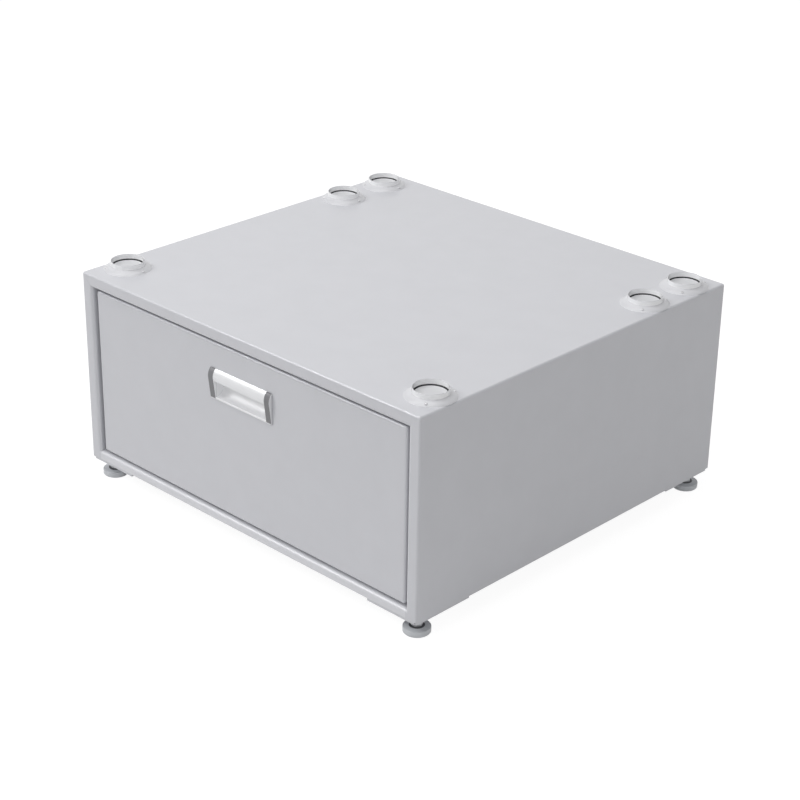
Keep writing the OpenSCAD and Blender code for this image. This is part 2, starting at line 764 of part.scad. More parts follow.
// The bottom's four edges are folded down
module drawer_bottom() {
    y = tray_y + tray_t;
    d = tray_back_y - y;
    color(inner_grey) in_place() difference() {
        wide_box(2 * tray_in_x, y, d, tray_low_z, tray_fold);
        wide_box(2 * (tray_in_x - tray_t), y + tray_t, d - 2 * tray_t, tray_low_z - over,
                 tray_fold - tray_t + over);
    }
}

module drawer_side_screws() {
    color(zinc) in_place() for (s = SIDES, y = SLIDE_SCREWS_Y) on_side(s[1]) {
        rod_x(tray_in_x - slide_head_h / 2, y, slide_z, slide_screw_r, slide_head_h / 2 + tray_t + member_t);
        rod_x(tray_in_x - slide_head_h, y, slide_z, slide_head_r, slide_head_h);
    }
}

module drawer_front_screws() {
    color(zinc) in_place() for (p = TRAY_SCREWS) {
        rod_y(p[0], liner_y - tray_screw_in, p[1], slide_screw_r,
              tray_screw_in + liner_t + tray_t + slide_head_h / 2);
        rod_y(p[0], tray_y + tray_t, p[1], slide_head_r, slide_head_h);
    }
}

// ---- Handle, drawn as a section with u outwards and v upwards ----

// Sets a (u, v) section of the given width on the drawer front, centred on x
module handle_section(w, x) {
    translate([x, front_recess, handle_z]) along_x(w) mirror([1, 0]) children();
}

module handle_bar() {
    wall_r = scoop_r + handle_t;
    color(aluminium) in_place() handle_section(bar_w, 0) polygon(concat(
        [[0, 0], [rim_u - rim_edge, 0], [rim_u, rim_edge], [rim_u, scoop_foot_v - rim_edge]],
        arc(scoop_u, scoop_v, scoop_r, 270, 180, 16),
        arc(scoop_back_u + top_r, top_v - top_r, top_r, 180, 90, 8),
        arc(bulge_u, bulge_v, lip_bulge_r - handle_t, bulge_in_a, bulge_low_a, 16),
        arc(bulge_u, bulge_v, lip_bulge_r, bulge_low_a, bulge_top_a, 20),
        [[0, handle_h], [0, cut_top_v - rim_ease]],
        arc(scoop_back_u + top_r, top_v - top_r, top_r + handle_t, 90, 180, 8),
        arc(scoop_u, scoop_v, wall_r, 180, scoop_end_a, 16),
        [[0, cut_low_v + rim_edge]]));
}

// A straight face from the lower rim up to where it touches the bulge, and then round the bulge
module cap_outline() {
    r = lip_bulge_r + cap_proud;
    top_ease_a = 4;
    foot = [rim_u + rim_edge, 1.4];
    run = foot - [bulge_u, bulge_v];
    touch_a = atan2(run[1], run[0]) + acos(r / norm(run));
    polygon(concat(
        [[0, 0], [rim_u, rim_ease], foot],
        arc(bulge_u, bulge_v, r, touch_a, bulge_top_a - top_ease_a, 16),
        [[rim_u, handle_h], [0, handle_h]]));
}

module handle_cap(s) {
    screw_l = handle_screw_in + 1;
    body_w_in = cap_w - rim_overlap - cap_play;
    edge = cap_play + 0.1;
    post_r = cap_w / 2 - 0.8;
    color(cap_grey) in_place() difference() {
        union() {
            handle_section(cap_w, s * cap_x) cap_outline();
            handle_section(body_w_in, s * (cap_x - (rim_overlap + cap_play) / 2))
                translate([cap_back_u, cut_low_v + edge])
                    square([-cap_back_u + lap, cut_top_v - cut_low_v - 2 * edge]);
            rod_y(s * cap_x, front_recess - cap_back_u - over, handle_z + cap_screw_v, post_r,
                  liner_y - front_recess + cap_back_u + over);
        }
        rod_y(s * cap_x, liner_y - screw_l - over, handle_z + cap_screw_v,
              handle_screw_r + screw_fit, screw_l + 2 * over);
    }
}

module handle_screws() {
    color(zinc) in_place() for (p = HANDLE_SCREWS) {
        rod_y(p[0], liner_y - handle_screw_in, p[1], handle_screw_r,
              handle_screw_in + liner_t + handle_head_h / 2);
        rod_y(p[0], front_back_y, p[1], handle_head_r, handle_head_h);
    }
}

// ---- One line per node ----

cabinet_shell();
front_sill();
rear_rail();
back_panel();
back_panel_screws();
foot_weld_nuts();
for (r = FOOT_ROWS, s = SIDES) {
    name = str(r[0], "_", s[0]);
    foot_bracket(r[0], s[1]);
    foot_stud(r[1], s[1]);
    foot_disc(r[1], s[1]);
}
for (r = CUP_ROWS, s = SIDES) {
    name = str(r[0], "_", s[0]);
    cup(r[1], s[1]);
    cup_pad(r[1], s[1]);
}
cup_rivets();
for (s = SIDES) {
    slide_support(s[1]);
    slide_outer(s[1]);
    slide_middle(s[1]);
    slide_inner(s[1]);
    ball_cage(s[1], outer_cage_s, outer_ball_s, middle_out_h);
    ball_cage(s[1], inner_cage_s, inner_ball_s, inner_out_h);
    drawer_side(s[1]);
    handle_cap(s[1]);
}
slide_stops();
slide_screws();
drawer_front();
drawer_front_liner();
drawer_back();
drawer_bottom();
drawer_side_screws();
drawer_front_screws();
handle_bar();
handle_screws();
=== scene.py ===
"""Looks of a washer pedestal drawer, built around its packed frame.

Inside the functions sizes are cabinet millimetres: x from the middle, y from the front face
backwards, z up from the lower edge. to_frame() turns them into the frame's metres.
"""

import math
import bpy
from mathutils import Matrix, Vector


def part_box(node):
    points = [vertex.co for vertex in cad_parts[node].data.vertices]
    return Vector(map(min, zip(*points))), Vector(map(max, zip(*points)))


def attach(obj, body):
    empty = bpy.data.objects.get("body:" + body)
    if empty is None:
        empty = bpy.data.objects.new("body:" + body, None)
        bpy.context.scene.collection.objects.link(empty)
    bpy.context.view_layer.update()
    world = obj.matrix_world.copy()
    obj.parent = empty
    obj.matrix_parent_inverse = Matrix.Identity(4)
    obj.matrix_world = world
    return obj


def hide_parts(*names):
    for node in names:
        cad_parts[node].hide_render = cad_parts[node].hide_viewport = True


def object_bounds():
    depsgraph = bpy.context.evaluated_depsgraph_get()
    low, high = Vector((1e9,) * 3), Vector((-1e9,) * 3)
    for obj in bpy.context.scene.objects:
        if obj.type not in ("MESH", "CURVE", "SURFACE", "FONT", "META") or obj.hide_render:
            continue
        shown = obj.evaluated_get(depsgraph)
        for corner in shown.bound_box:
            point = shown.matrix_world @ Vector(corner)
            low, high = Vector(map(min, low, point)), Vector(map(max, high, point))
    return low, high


bl_info = {
    "name": "Washer pedestal drawer",
    "version": (1, 0, 0),
    "blender": (4, 5, 0),
    "location": "View3D > Sidebar > Pedestal",
    "description": "Builds the cabinet, cups, drawer, handle, slides, feet and finishes of a pedestal",
    "category": "Object",
}

from types import SimpleNamespace

import bmesh
import bpy
import numpy as np
from bpy.props import FloatProperty, FloatVectorProperty, PointerProperty
from mathutils import Matrix, Vector

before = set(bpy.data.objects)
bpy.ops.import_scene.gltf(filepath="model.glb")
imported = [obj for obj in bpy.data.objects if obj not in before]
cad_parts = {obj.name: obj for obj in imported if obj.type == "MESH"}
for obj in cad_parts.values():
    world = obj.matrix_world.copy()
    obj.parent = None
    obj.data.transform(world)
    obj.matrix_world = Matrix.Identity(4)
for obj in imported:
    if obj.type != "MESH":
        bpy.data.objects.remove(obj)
CAD_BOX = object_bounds()

MM = 0.001
SHELL_LOW, SHELL_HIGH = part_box("cabinet_shell")
ORIGIN = np.array([0.0, SHELL_LOW.y, SHELL_LOW.z])
SIDES = (("left", -1.0), ("right", 1.0))
CUPS = [f"{row}_{side}" for row in ("front", "middle", "rear") for side, _ in SIDES]
FEET = [f"{row}_{side}" for row in ("front", "rear") for side, _ in SIDES]
# Edges that turn by more than these look sharp, and points closer than the distance in metres merge
SHARP_ANGLE = math.radians(38)
THREAD_ANGLE = math.radians(30)
MERGE_DISTANCE = 1e-7


# ---- Frame and sizes ----

def to_frame(points):
    """Cabinet millimetres to frame metres: a thousandth of the point, plus the place of the shell's
    front lower edge."""
    return np.asarray(points, float) * MM + ORIGIN


def local_box(node):
    """Low and high corner of a CAD node in cabinet millimetres."""
    low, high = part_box(node)
    return (np.array(low) - ORIGIN) / MM, (np.array(high) - ORIGIN) / MM


def in_mm(group):
    """A property group as a plain namespace, with its lengths in millimetres."""
    values = {}
    for prop in group.bl_rna.properties:
        if prop.identifier in ("rna_type", "name"):
            continue
        value = getattr(group, prop.identifier)
        values[prop.identifier] = value / MM if getattr(prop, "unit", "") == "LENGTH" else value
    return SimpleNamespace(**values)


def length(name, description, millimetres):
    """A length property whose default is given in millimetres."""
    return FloatProperty(name=name, description=description, default=millimetres * MM,
                         min=0.0, unit="LENGTH", precision=4)


def colour(name, description, value):
    """A linear colour property."""
    return FloatVectorProperty(name=name, description=description, default=value,
                               subtype="COLOR", size=3, min=0.0, max=1.0)


def amount(name, description, value, low=0.0, high=1.0):
    """A plain factor."""
    return FloatProperty(name=name, description=description, default=value, min=low, max=high,
                         subtype="FACTOR")


def power(name, description, watts):
    """The power of a lamp."""
    return FloatProperty(name=name, description=description, default=watts, min=0.0, unit="POWER")


# ---- Outlines ----

# Corners that turn less than this, in radians, stay as they are
LEAST_TURN = 1e-5


def arc(cx, cy, radius, start, end, steps=10):
    """Points on a circle about (cx, cy), from the start to the end angle in degrees."""
    a = np.radians(np.linspace(start, end, steps + 1))
    return np.stack([cx + radius * np.cos(a), cy + radius * np.sin(a)], axis=1)


def rounded(corners, radii, steps=5, guard=0.35, closed=True):
    """Outline whose corners are arcs. An arc of radius r leaves each edge r * tan(turn / 2) before the
    corner. A guard point a little further out on each edge keeps the flats flat when shaded."""
    p = np.asarray(corners, float)
    count = len(p)
    parts = []
    for i in range(count):
        inner = closed or 0 < i < count - 1
        if not inner:
            parts.append(p[i:i + 1])
            continue
        before, after = p[i - 1] - p[i], p[(i + 1) % count] - p[i]
        room = min(np.linalg.norm(before), np.linalg.norm(after))
        before, after = before / np.linalg.norm(before), after / np.linalg.norm(after)
        turn = math.pi - math.acos(float(np.clip(before @ after, -1, 1)))
        if turn < LEAST_TURN or radii[i] <= 0:
            parts.append(p[i:i + 1])
            continue
        back = radii[i] * math.tan(turn / 2)
        inwards = (before + after) / np.linalg.norm(before + after)
        centre = p[i] + inwards * radii[i] / math.cos(turn / 2)
        first, last = p[i] + before * back - centre, p[i] + after * back - centre
        t = np.linspace(0, 1, steps + 1)[:, None]
        bow = (np.sin((1 - t) * turn) * first + np.sin(t * turn) * last) / math.sin(turn)
        reach = back + min(guard, max(room / 2 - back, 0) * 0.5)
        parts += [(p[i] + before * reach)[None], centre + bow, (p[i] + after * reach)[None]]
    return np.concatenate(parts)


def folded(face, thickness, bends, steps=5):
    """Closed outline of a folded sheet. The given line is its outer face, the other face lies one
    thickness to its left, and each fold has the given inner radius on whichever face is inside."""
    p = np.asarray(face, float)
    d = np.diff(p, axis=0)
    d /= np.linalg.norm(d, axis=1)[:, None]
    n = np.stack([-d[:, 1], d[:, 0]], axis=1)
    joined = (n[:-1] + n[1:]) / (1 + (n[:-1] * n[1:]).sum(1))[:, None]
    other = p + thickness * np.concatenate([n[:1], joined, n[-1:]])
    turn = (d[:-1, 0] * d[1:, 1] - d[:-1, 1] * d[1:, 0]) * math.copysign(1, thickness)
    bends = np.asarray(bends, float)
    bent = bends > 0
    wide = (bends + abs(thickness)) * bent
    face_r = np.where(turn > 0, wide, bends)
    other_r = np.where(turn > 0, bends, wide)
    pad = np.zeros(1)
    return np.concatenate([
        rounded(p, np.concatenate([pad, face_r, pad]), steps, closed=False),
        rounded(other, np.concatenate([pad, other_r, pad]), steps, closed=False)[::-1]])


# ---- Surfaces on a grid of two parameters ----

def grid(points, wrap_u=False, wrap_v=False, caps=False, tint=0):
    """A surface: points[u, v] in cabinet millimetres, whether each direction closes on itself, and
    which of its piece's finishes it wears."""
    return SimpleNamespace(points=np.asarray(points, float), wrap_u=wrap_u, wrap_v=wrap_v, caps=caps,
                           tint=tint)


def tinted(surface, tint):
    """The same surface in another of its piece's finishes."""
    return SimpleNamespace(**{**vars(surface), "tint": tint})


def extrude(outline, axis, start, end):
    """The closed outline carried along one axis. Its two coordinates lie on the other two axes."""
    others = [k for k in range(3) if k != axis]
    points = np.empty((2, len(outline), 3))
    points[:, :, axis] = np.array([[start], [end]])
    points[:, :, others] = outline
    return grid(points, wrap_v=True, caps=True)


def turned(centre, r, a, z):
    """Points at radius r, angle a and height z about the upright axis through the centre."""
    x, y = centre[0] + r * np.cos(a), centre[1] + r * np.sin(a)
    return np.stack([x, y, centre[2] + z + 0 * a], axis=2)


def lathe(profile, centre, steps=72, closed=True):
    """Each point (radius, height) of the profile turned about the upright axis through the centre."""
    a = np.linspace(0, 2 * math.pi, steps, endpoint=False)[:, None]
    return grid(turned(centre, profile[None, :, 0], a, profile[None, :, 1]), wrap_u=True, wrap_v=closed)


def slab(low, high, axis, radius):
    """A plate between two corners, with rounded edges along the given axis."""
    a, b = [k for k in range(3) if k != axis]
    corners = [(low[a], low[b]), (high[a], low[b]), (high[a], high[b]), (low[a], high[b])]
    return extrude(rounded(corners, [radius] * 4), axis, low[axis], high[axis])


def mirrored(surface):
    """The same surface on the other side of x = 0. Its faces are turned outwards later."""
    return SimpleNamespace(**{**vars(surface), "points": surface.points * np.array([-1.0, 1.0, 1.0])})


def faces_of(surface, offset):
    """Four-sided faces between neighbouring grid points, and one many-sided face for each cap."""
    rows, cols = surface.points.shape[:2]
    index = np.arange(rows * cols).reshape(rows, cols) + offset
    if surface.wrap_u:
        index = np.concatenate([index, index[:1]])
    if surface.wrap_v:
        index = np.concatenate([index, index[:, :1]], axis=1)
    quads = np.stack([index[:-1, :-1], index[1:, :-1], index[1:, 1:], index[:-1, 1:]], axis=2)
    found = quads.reshape(-1, 4).tolist()
    if surface.caps:
        found += [index[0, :cols].tolist(), index[-1, :cols].tolist()]
    return found


def piece(name, surfaces, finish, body, stands_for=(), sharp=SHARP_ANGLE):
    """Puts the surfaces into one mesh, closes its seams and poles, turns its faces outwards, gives it
    its finish or finishes and the body it rides on, and hides the CAD nodes it stands for."""
    points, faces, tints, offset = [], [], [], 0
    for surface in surfaces:
        points.append(to_frame(surface.points.reshape(-1, 3)))
        faces += faces_of(surface, offset)
        tints += [surface.tint] * (len(faces) - len(tints))
        offset += len(points[-1])
    mesh = bpy.data.meshes.new(name)
    mesh.from_pydata(np.concatenate(points).tolist(), [], faces)
    for each in finish if isinstance(finish, tuple) else (finish,):
        mesh.materials.append(each)
    mesh.polygons.foreach_set("material_index", tints)
    work = bmesh.new()
    work.from_mesh(mesh)
    bmesh.ops.remove_doubles(work, verts=work.verts, dist=MERGE_DISTANCE)
    bmesh.ops.recalc_face_normals(work, faces=work.faces)
    work.to_mesh(mesh)
    work.free()
    mesh.shade_smooth()
    mesh.set_sharp_from_angle(angle=sharp)
    mesh.validate()
    made = bpy.data.objects.new(name, mesh)
    bpy.context.scene.collection.objects.link(made)
    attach(made, body)
    if stands_for:
        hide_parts(*stands_for)
    return made


def tint_faces(made, *tests):
    """Gives the piece's second finish to the faces that the first test picks, and its third finish to
    those that the second test picks. A test takes the faces' normals, and their centres in cabinet
    millimetres."""
    mesh = made.data
    normals, centres = np.empty((2, len(mesh.polygons) * 3))
    mesh.polygons.foreach_get("normal", normals)
    mesh.polygons.foreach_get("center", centres)
    tints = np.zeros(len(mesh.polygons), int)
    for tint, test in enumerate(tests, 1):
        tints[test(normals.reshape(-1, 3), (centres.reshape(-1, 3) - ORIGIN) / MM)] = tint
    mesh.polygons.foreach_set("material_index", tints)


# ---- Shader node groups ----

# Part of a noise's range that is spread over the whole drift, and how much finer the second noise is
NOISE_LOW, NOISE_HIGH = 0.3, 0.7
FINER = 4.5
STRETCH = ("Stretch", "NodeSocketVector", (1.0, 1.0, 1.0))


class Graph:
    """A node tree under construction."""

    def __init__(self, tree):
        self.tree = tree

    def add(self, kind, sockets=None, **settings):
        """A node with its settings, and for each named socket either a value or the output it takes."""
        node = self.tree.nodes.new(kind)
        for key, value in settings.items():
            setattr(node, key, value)
        for key, source in (sockets or {}).items():
            if isinstance(source, bpy.types.NodeSocket):
                self.tree.links.new(source, node.inputs[key])
            else:
                node.inputs[key].default_value = source
        return node

    def value(self, operation, first, second):
        """The result of one operation on two numbers."""
        return self.add("ShaderNodeMath", {0: first, 1: second}, operation=operation).outputs[0]


def shader_group(name, inputs, output, fill):
    """A node group made once, with named inputs and one output, whose inside fill() builds."""
    found = bpy.data.node_groups.get(name)
    if found:
        return found
    tree = bpy.data.node_groups.new(name, "ShaderNodeTree")
    for label, kind, value in inputs:
        socket = tree.interface.new_socket(label, in_out="INPUT", socket_type=kind)
        socket.default_value = value
    tree.interface.new_socket(output[0], in_out="OUTPUT", socket_type=output[1])
    graph = Graph(tree)
    source = graph.add("NodeGroupInput").outputs
    graph.add("NodeGroupOutput", {output[0]: fill(graph, source)})
    return tree


def stretched(graph, source):
    """Object coordinates times the Stretch input."""
    place = graph.add("ShaderNodeTexCoord").outputs["Object"]
    return graph.add("ShaderNodeVectorMath", {0: place, 1: source["Stretch"]},
                     operation="MULTIPLY").outputs[0]


def drift(graph, source, middle, detail, roughness):
    """The middle value plus or minus the Spread input, by a soft noise."""
    noise = graph.add("ShaderNodeTexNoise", {
        "Vector": stretched(graph, source), "Scale": source["Scale"], "Detail": detail,
        "Roughness": roughness})
    low = graph.value("SUBTRACT", middle, source["Spread"])
    high = graph.value("ADD", middle, source["Spread"])
    return graph.add("ShaderNodeMapRange", {
        "Value": noise.outputs[0], "From Min": NOISE_LOW, "From Max": NOISE_HIGH,
        "To Min": low, "To Max": high}).outputs[0]


def tone_group():
    """Colour that drifts: the colour times one plus or minus the spread, by a soft noise."""
    def fill(graph, source):
        gain = drift(graph, source, 1.0, 3.0, 0.55)
        return graph.add("ShaderNodeVectorMath", {0: source["Colour"], "Scale": gain},
                         operation="SCALE").outputs[0]
    return shader_group("Tone drift", [
        ("Colour", "NodeSocketColor", (0.5, 0.5, 0.5, 1.0)), ("Spread", "NodeSocketFloat", 0.02),
        ("Scale", "NodeSocketFloat", 30.0), STRETCH], ("Colour", "NodeSocketColor"), fill)


def level_group():
    """A value that drifts: the level plus or minus the spread, by a soft noise."""
    def fill(graph, source):
        return drift(graph, source, source["Level"], 4.0, 0.6)
    return shader_group("Gloss drift", [
        ("Level", "NodeSocketFloat", 0.4), ("Spread", "NodeSocketFloat", 0.04),
        ("Scale", "NodeSocketFloat", 60.0), STRETCH], ("Level", "NodeSocketFloat"), fill)


def relief_group():
    """Height of a surface texture: a coarse noise plus the Fine input times a finer one."""
    def fill(graph, source):
        place = stretched(graph, source)
        coarse = graph.add("ShaderNodeTexNoise", {"Vector": place, "Scale": source["Scale"],
                                                  "Detail": 2.0})
        scale = graph.value("MULTIPLY", source["Scale"], FINER)
        fine = graph.add("ShaderNodeTexNoise", {"Vector": place, "Scale": scale, "Detail": 2.0})
        part = graph.value("MULTIPLY", fine.outputs[0], source["Fine"])
        return graph.value("ADD", coarse.outputs[0], part)
    return shader_group("Surface relief", [
        ("Scale", "NodeSocketFloat", 400.0), ("Fine", "NodeSocketFloat", 0.4), STRETCH],
        ("Height", "NodeSocketFloat"), fill)


def spangle_group():
    """Crystal patches of plated steel: each Voronoi cell has a value of its own."""
    def fill(graph, source):
        cells = graph.add("ShaderNodeTexVoronoi", {"Vector": stretched(graph, source),
                                                   "Scale": source["Scale"]}, feature="F1")
        grey = graph.add("ShaderNodeSeparateColor", {0: cells.outputs["Color"]}).outputs[0]
        return graph.add("ShaderNodeMapRange", {"Value": grey, "To Min": source["Low"],
                                                "To Max": source["High"]}).outputs[0]
    return shader_group("Zinc spangle", [
        ("Scale", "NodeSocketFloat", 250.0), ("Low", "NodeSocketFloat", 0.3),
        ("High", "NodeSocketFloat", 0.45), STRETCH], ("Value", "NodeSocketFloat"), fill)


def placed(graph, tree, sockets):
    """The output of a node group placed in a material with its own values."""
    return graph.add("ShaderNodeGroup", sockets, node_tree=tree).outputs[0]


def material(name, rgb, roughness, metallic=0.0, spread=0.015, tone_scale=25.0, gloss_spread=0.03,
             relief_scale=420.0, relief_depth=0.02, fine=0.4, stretch=(1.0, 1.0, 1.0), spangle=None,
             coat=0.0, coat_roughness=0.15, specular=0.5):
    """A finish from the shared groups. Its relief depth is in millimetres."""
    found = bpy.data.materials.get(name)
    if found:
        return found
    made = bpy.data.materials.new(name)
    made.use_nodes = True
    made.node_tree.nodes.clear()
    graph = Graph(made.node_tree)
    tone = placed(graph, tone_group(), {"Colour": (*rgb, 1.0), "Spread": spread, "Scale": tone_scale,
                                        "Stretch": stretch})
    if spangle:
        gloss = placed(graph, spangle_group(), {"Scale": spangle, "Low": roughness - gloss_spread,
                                                "High": roughness + gloss_spread, "Stretch": stretch})
    else:
        gloss = placed(graph, level_group(), {"Level": roughness, "Spread": gloss_spread,
                                              "Stretch": stretch})
    height = placed(graph, relief_group(), {"Scale": relief_scale, "Fine": fine, "Stretch": stretch})
    bump = graph.add("ShaderNodeBump", {"Height": height, "Distance": relief_depth * MM,
                                        "Strength": 1.0})
    shader = graph.add("ShaderNodeBsdfPrincipled", {
        "Base Color": tone, "Roughness": gloss, "Metallic": metallic, "Coat Weight": coat,
        "Coat Roughness": coat_roughness, "Specular IOR Level": specular, "Normal": bump.outputs[0]})
    graph.add("ShaderNodeOutputMaterial", {"Surface": shader.outputs[0]})
    made.diffuse_color = (*rgb, 1.0)
    return made


def finishes(context):
    """Every finish of the pedestal, made from the colours in the panel."""
    c = context.scene.pedestal_finish
    enamel = {"spread": 0.012, "relief_depth": 0.028, "coat": 0.5, "coat_roughness": 0.12}
    smooth = {"spread": 0.012, "relief_depth": 0.02}
    brushed = {"gloss_spread": 0.05, "relief_scale": 60.0, "relief_depth": 0.010,
               "stretch": (3.0, 90.0, 90.0)}
    return SimpleNamespace(
        panel=material("Grey enamel", c.enamel, c.enamel_roughness, **enamel),
        face=material("Drawer enamel", c.enamel, c.enamel_roughness, **enamel),
        # The sill wears a lighter copy of the enamel: painted light standing in for the brighter light
        # on the sill near the floor.
        sill=material("Sill enamel", c.sill, c.enamel_roughness, **enamel),
        cup=material("Cup enamel", c.cup, 0.34, coat=0.3, **smooth),
        # Lighter copy of the cup's enamel for the collar's upright walls: painted light.
        collar=material("Collar enamel", c.collar, 0.34, coat=1.0, specular=0.8, **smooth),
        # Whiter copy of the handle's aluminium for the scoop and the caps' inner sides: painted light
        # that lifts the shade under the lip.
        scoop=material("Scoop finish", c.scoop, 0.52, metallic=0.3, spread=0.015, **brushed),
        inner=material("Inner enamel", c.inner, 0.48, spread=0.02, relief_depth=0.03),
        zinc=material("Zinc plate", c.zinc, 0.36, metallic=1.0, spread=0.06, tone_scale=90.0,
                      gloss_spread=0.07, spangle=320.0, relief_scale=700.0, relief_depth=0.008),
        aluminium=material("Satin aluminium", c.aluminium, 0.38, metallic=0.25, spread=0.02, **brushed),
        cap=material("Cap plastic", c.cap, 0.42, spread=0.03, relief_scale=900.0, relief_depth=0.03),
        # Light colour for the caps' outer sides and lower edge: painted light for their lit sides and
        # the glint along the lower edge.
        cheek=material("Cheek plastic", c.cheek, 0.45, spread=0.02, relief_scale=900.0,
                       relief_depth=0.02),
        foot=material("Foot plastic", c.foot, 0.5, spread=0.02, relief_scale=800.0, relief_depth=0.03),
        pad=material("Pad plastic", c.pad, 0.62, spread=0.02, relief_scale=1100.0, relief_depth=0.04),
        # Near-black ring round each foot's stud: painted shade standing in for the deep shadow under the
        # cabinet's edge.
        socket=material("Socket steel", c.socket, 0.45, spread=0.05, relief_scale=700.0,
                        relief_depth=0.03),
        rivet=material("Rivet metal", c.rivet, 0.42, metallic=0.9, spread=0.03, tone_scale=400.0,
                       relief_scale=900.0, relief_depth=0.006),
        # Real rubber for the slide stops, and painted shade for the dark ring round each cup's pad.
        bumper=material("Stop rubber", c.rubber, 0.75, spread=0.06, relief_scale=900.0,
                        relief_depth=0.05))


# ---- Sizes and colours that a user would change ----

class PedestalCabinet(bpy.types.PropertyGroup):
    """Sizes of the cabinet's sheet metal."""
    width: length("Width", "Across the side walls", (SHELL_HIGH.x - SHELL_LOW.x) / MM)
    depth: length("Depth", "From front frame to rear flange", (SHELL_HIGH.y - SHELL_LOW.y) / MM)
    height: length("Height", "Without feet and cups", (SHELL_HIGH.z - SHELL_LOW.z) / MM)
    sheet: length("Sheet", "Sheet thickness", 1.2)
    bend: length("Top bend", "Outer bend radius between top and side walls", 3.0)
    face_bend: length("Face bend", "Outer bend radius between front frame and walls", 3.0)
    stile: length("Stile", "Width of the frame beside the drawer", 18.0)
    head: length("Head", "Height of the frame above the drawer", 17.5)
    lip: length("Lip", "Depth that the frame's inner edge is folded back", 12.0)
    roll: length("Roll", "Outer radius of the rolled edge round the drawer", 4.5)
    base_flange: length("Base flange", "Width of the flange under each side wall", 30.0)
    rear_flange: length("Rear flange", "Width of the flange round the rear opening", 15.0)
    corner_cut: length("Corner cut", "Cut at the lower corners of the side walls", 0.8)
    seam: length("Seam", "Half the width of the groove at the frame's mitred corners", 0.35)
    seam_depth: length("Seam depth", "Depth of the groove at the frame's mitred corners", 0.2)
    rail: length("Rail depth", "Depth of the sill and the rear rail", 13.0)
    sill: length("Sill", "Height of the sill", 12.0)
    rear_rail: length("Rear rail", "Height of the rear rail", 25.0)
    upstand: length("Upstand", "Height of the rear rail's upstand", 12.0)


class PedestalCup(bpy.types.PropertyGroup):
    """Sizes of the cups for the appliance's feet."""
    seat: length("Seat", "Inner radius of the cup", 21.0)
    wall: length("Wall", "Wall thickness of the collar", 1.2)
    height: length("Height", "Height of the collar above the top panel", 11.0)
    skirt_edge: length("Skirt edge", "Outer radius of the skirt", 31.3)
    rivet_ring: length("Rivet ring", "Distance of the rivets from the cup's middle", 27.8)
    skirt: length("Skirt", "Height of the skirt where it meets the collar", 5.0)
    # The dark ring round the cup's inside is painted shade, standing in for the shadow gap between pad
    # and collar.
    seal: length("Seal", "Height of the dark seal above the pad, round the cup's inside", 1.2)
    ledge: length("Ledge", "Height of the ledge beside the pad", 1.5)
    pad_edge: length("Pad edge", "Rounding of the pad's upper edge", 0.6)


class PedestalDrawer(bpy.types.PropertyGroup):
    """Sizes of the drawer front and its tray."""
    sheet: length("Sheet", "Sheet thickness of the drawer", 1.0)
    edge: length("Edge", "Bend radius round the drawer front's edges", 3.4)
    corner: length("Corner", "Radius of the drawer front's corners", 3.0)
    flange: length("Flange", "Width of the flange round the back of the drawer front", 9.0)
    front_flange: length("Front flange", "Width of the flanges that hold the tray to the front", 15.0)


class PedestalHandle(bpy.types.PropertyGroup):
    """Sizes of the handle's profile, outwards from the drawer front's face and up from its low edge."""
    wall: length("Wall", "Wall thickness of the profile", 1.6)
    lip_out: length("Lip", "Distance that the lip stands out", 5.2)
    bulge: length("Bulge", "Radius of the lip's bulge", 14.0)
    bulge_drop: length("Bulge drop", "From the handle's top to the bulge's centre", 10.5)
    hollow_drop: length("Hollow drop", "From the handle's top to the hollow behind the lip", 2.5)
    scoop: length("Scoop", "Radius of the scoop under the lip", 14.5)
    scoop_foot: length("Scoop foot", "Height of the scoop's lowest point", 2.8)
    lip_edge: length("Lip edge", "Height of the lip's free edge", 25.0)
    proud: length("Cap", "Distance that the caps stand out further than the lip", 0.4)


class PedestalFoot(bpy.types.PropertyGroup):
    """Sizes of the levelling feet."""
    pitch: length("Pitch", "Pitch of the thread", 1.25)
    thread_depth: length("Thread depth", "Depth of the thread", 0.62)
    flats: length("Flats", "Distance across the hexagon's flats", 13.0)
    hexagon: length("Hexagon", "Height of the hexagon", 6.0)
    bevel: length("Bevel", "Bevel round the disc's sole", 1.0)
    # The dark ring round the stud is painted shade, standing in for the shadow under the cabinet's edge.
    socket: length("Socket", "Outer radius of the dark ring round the stud", 9.6)


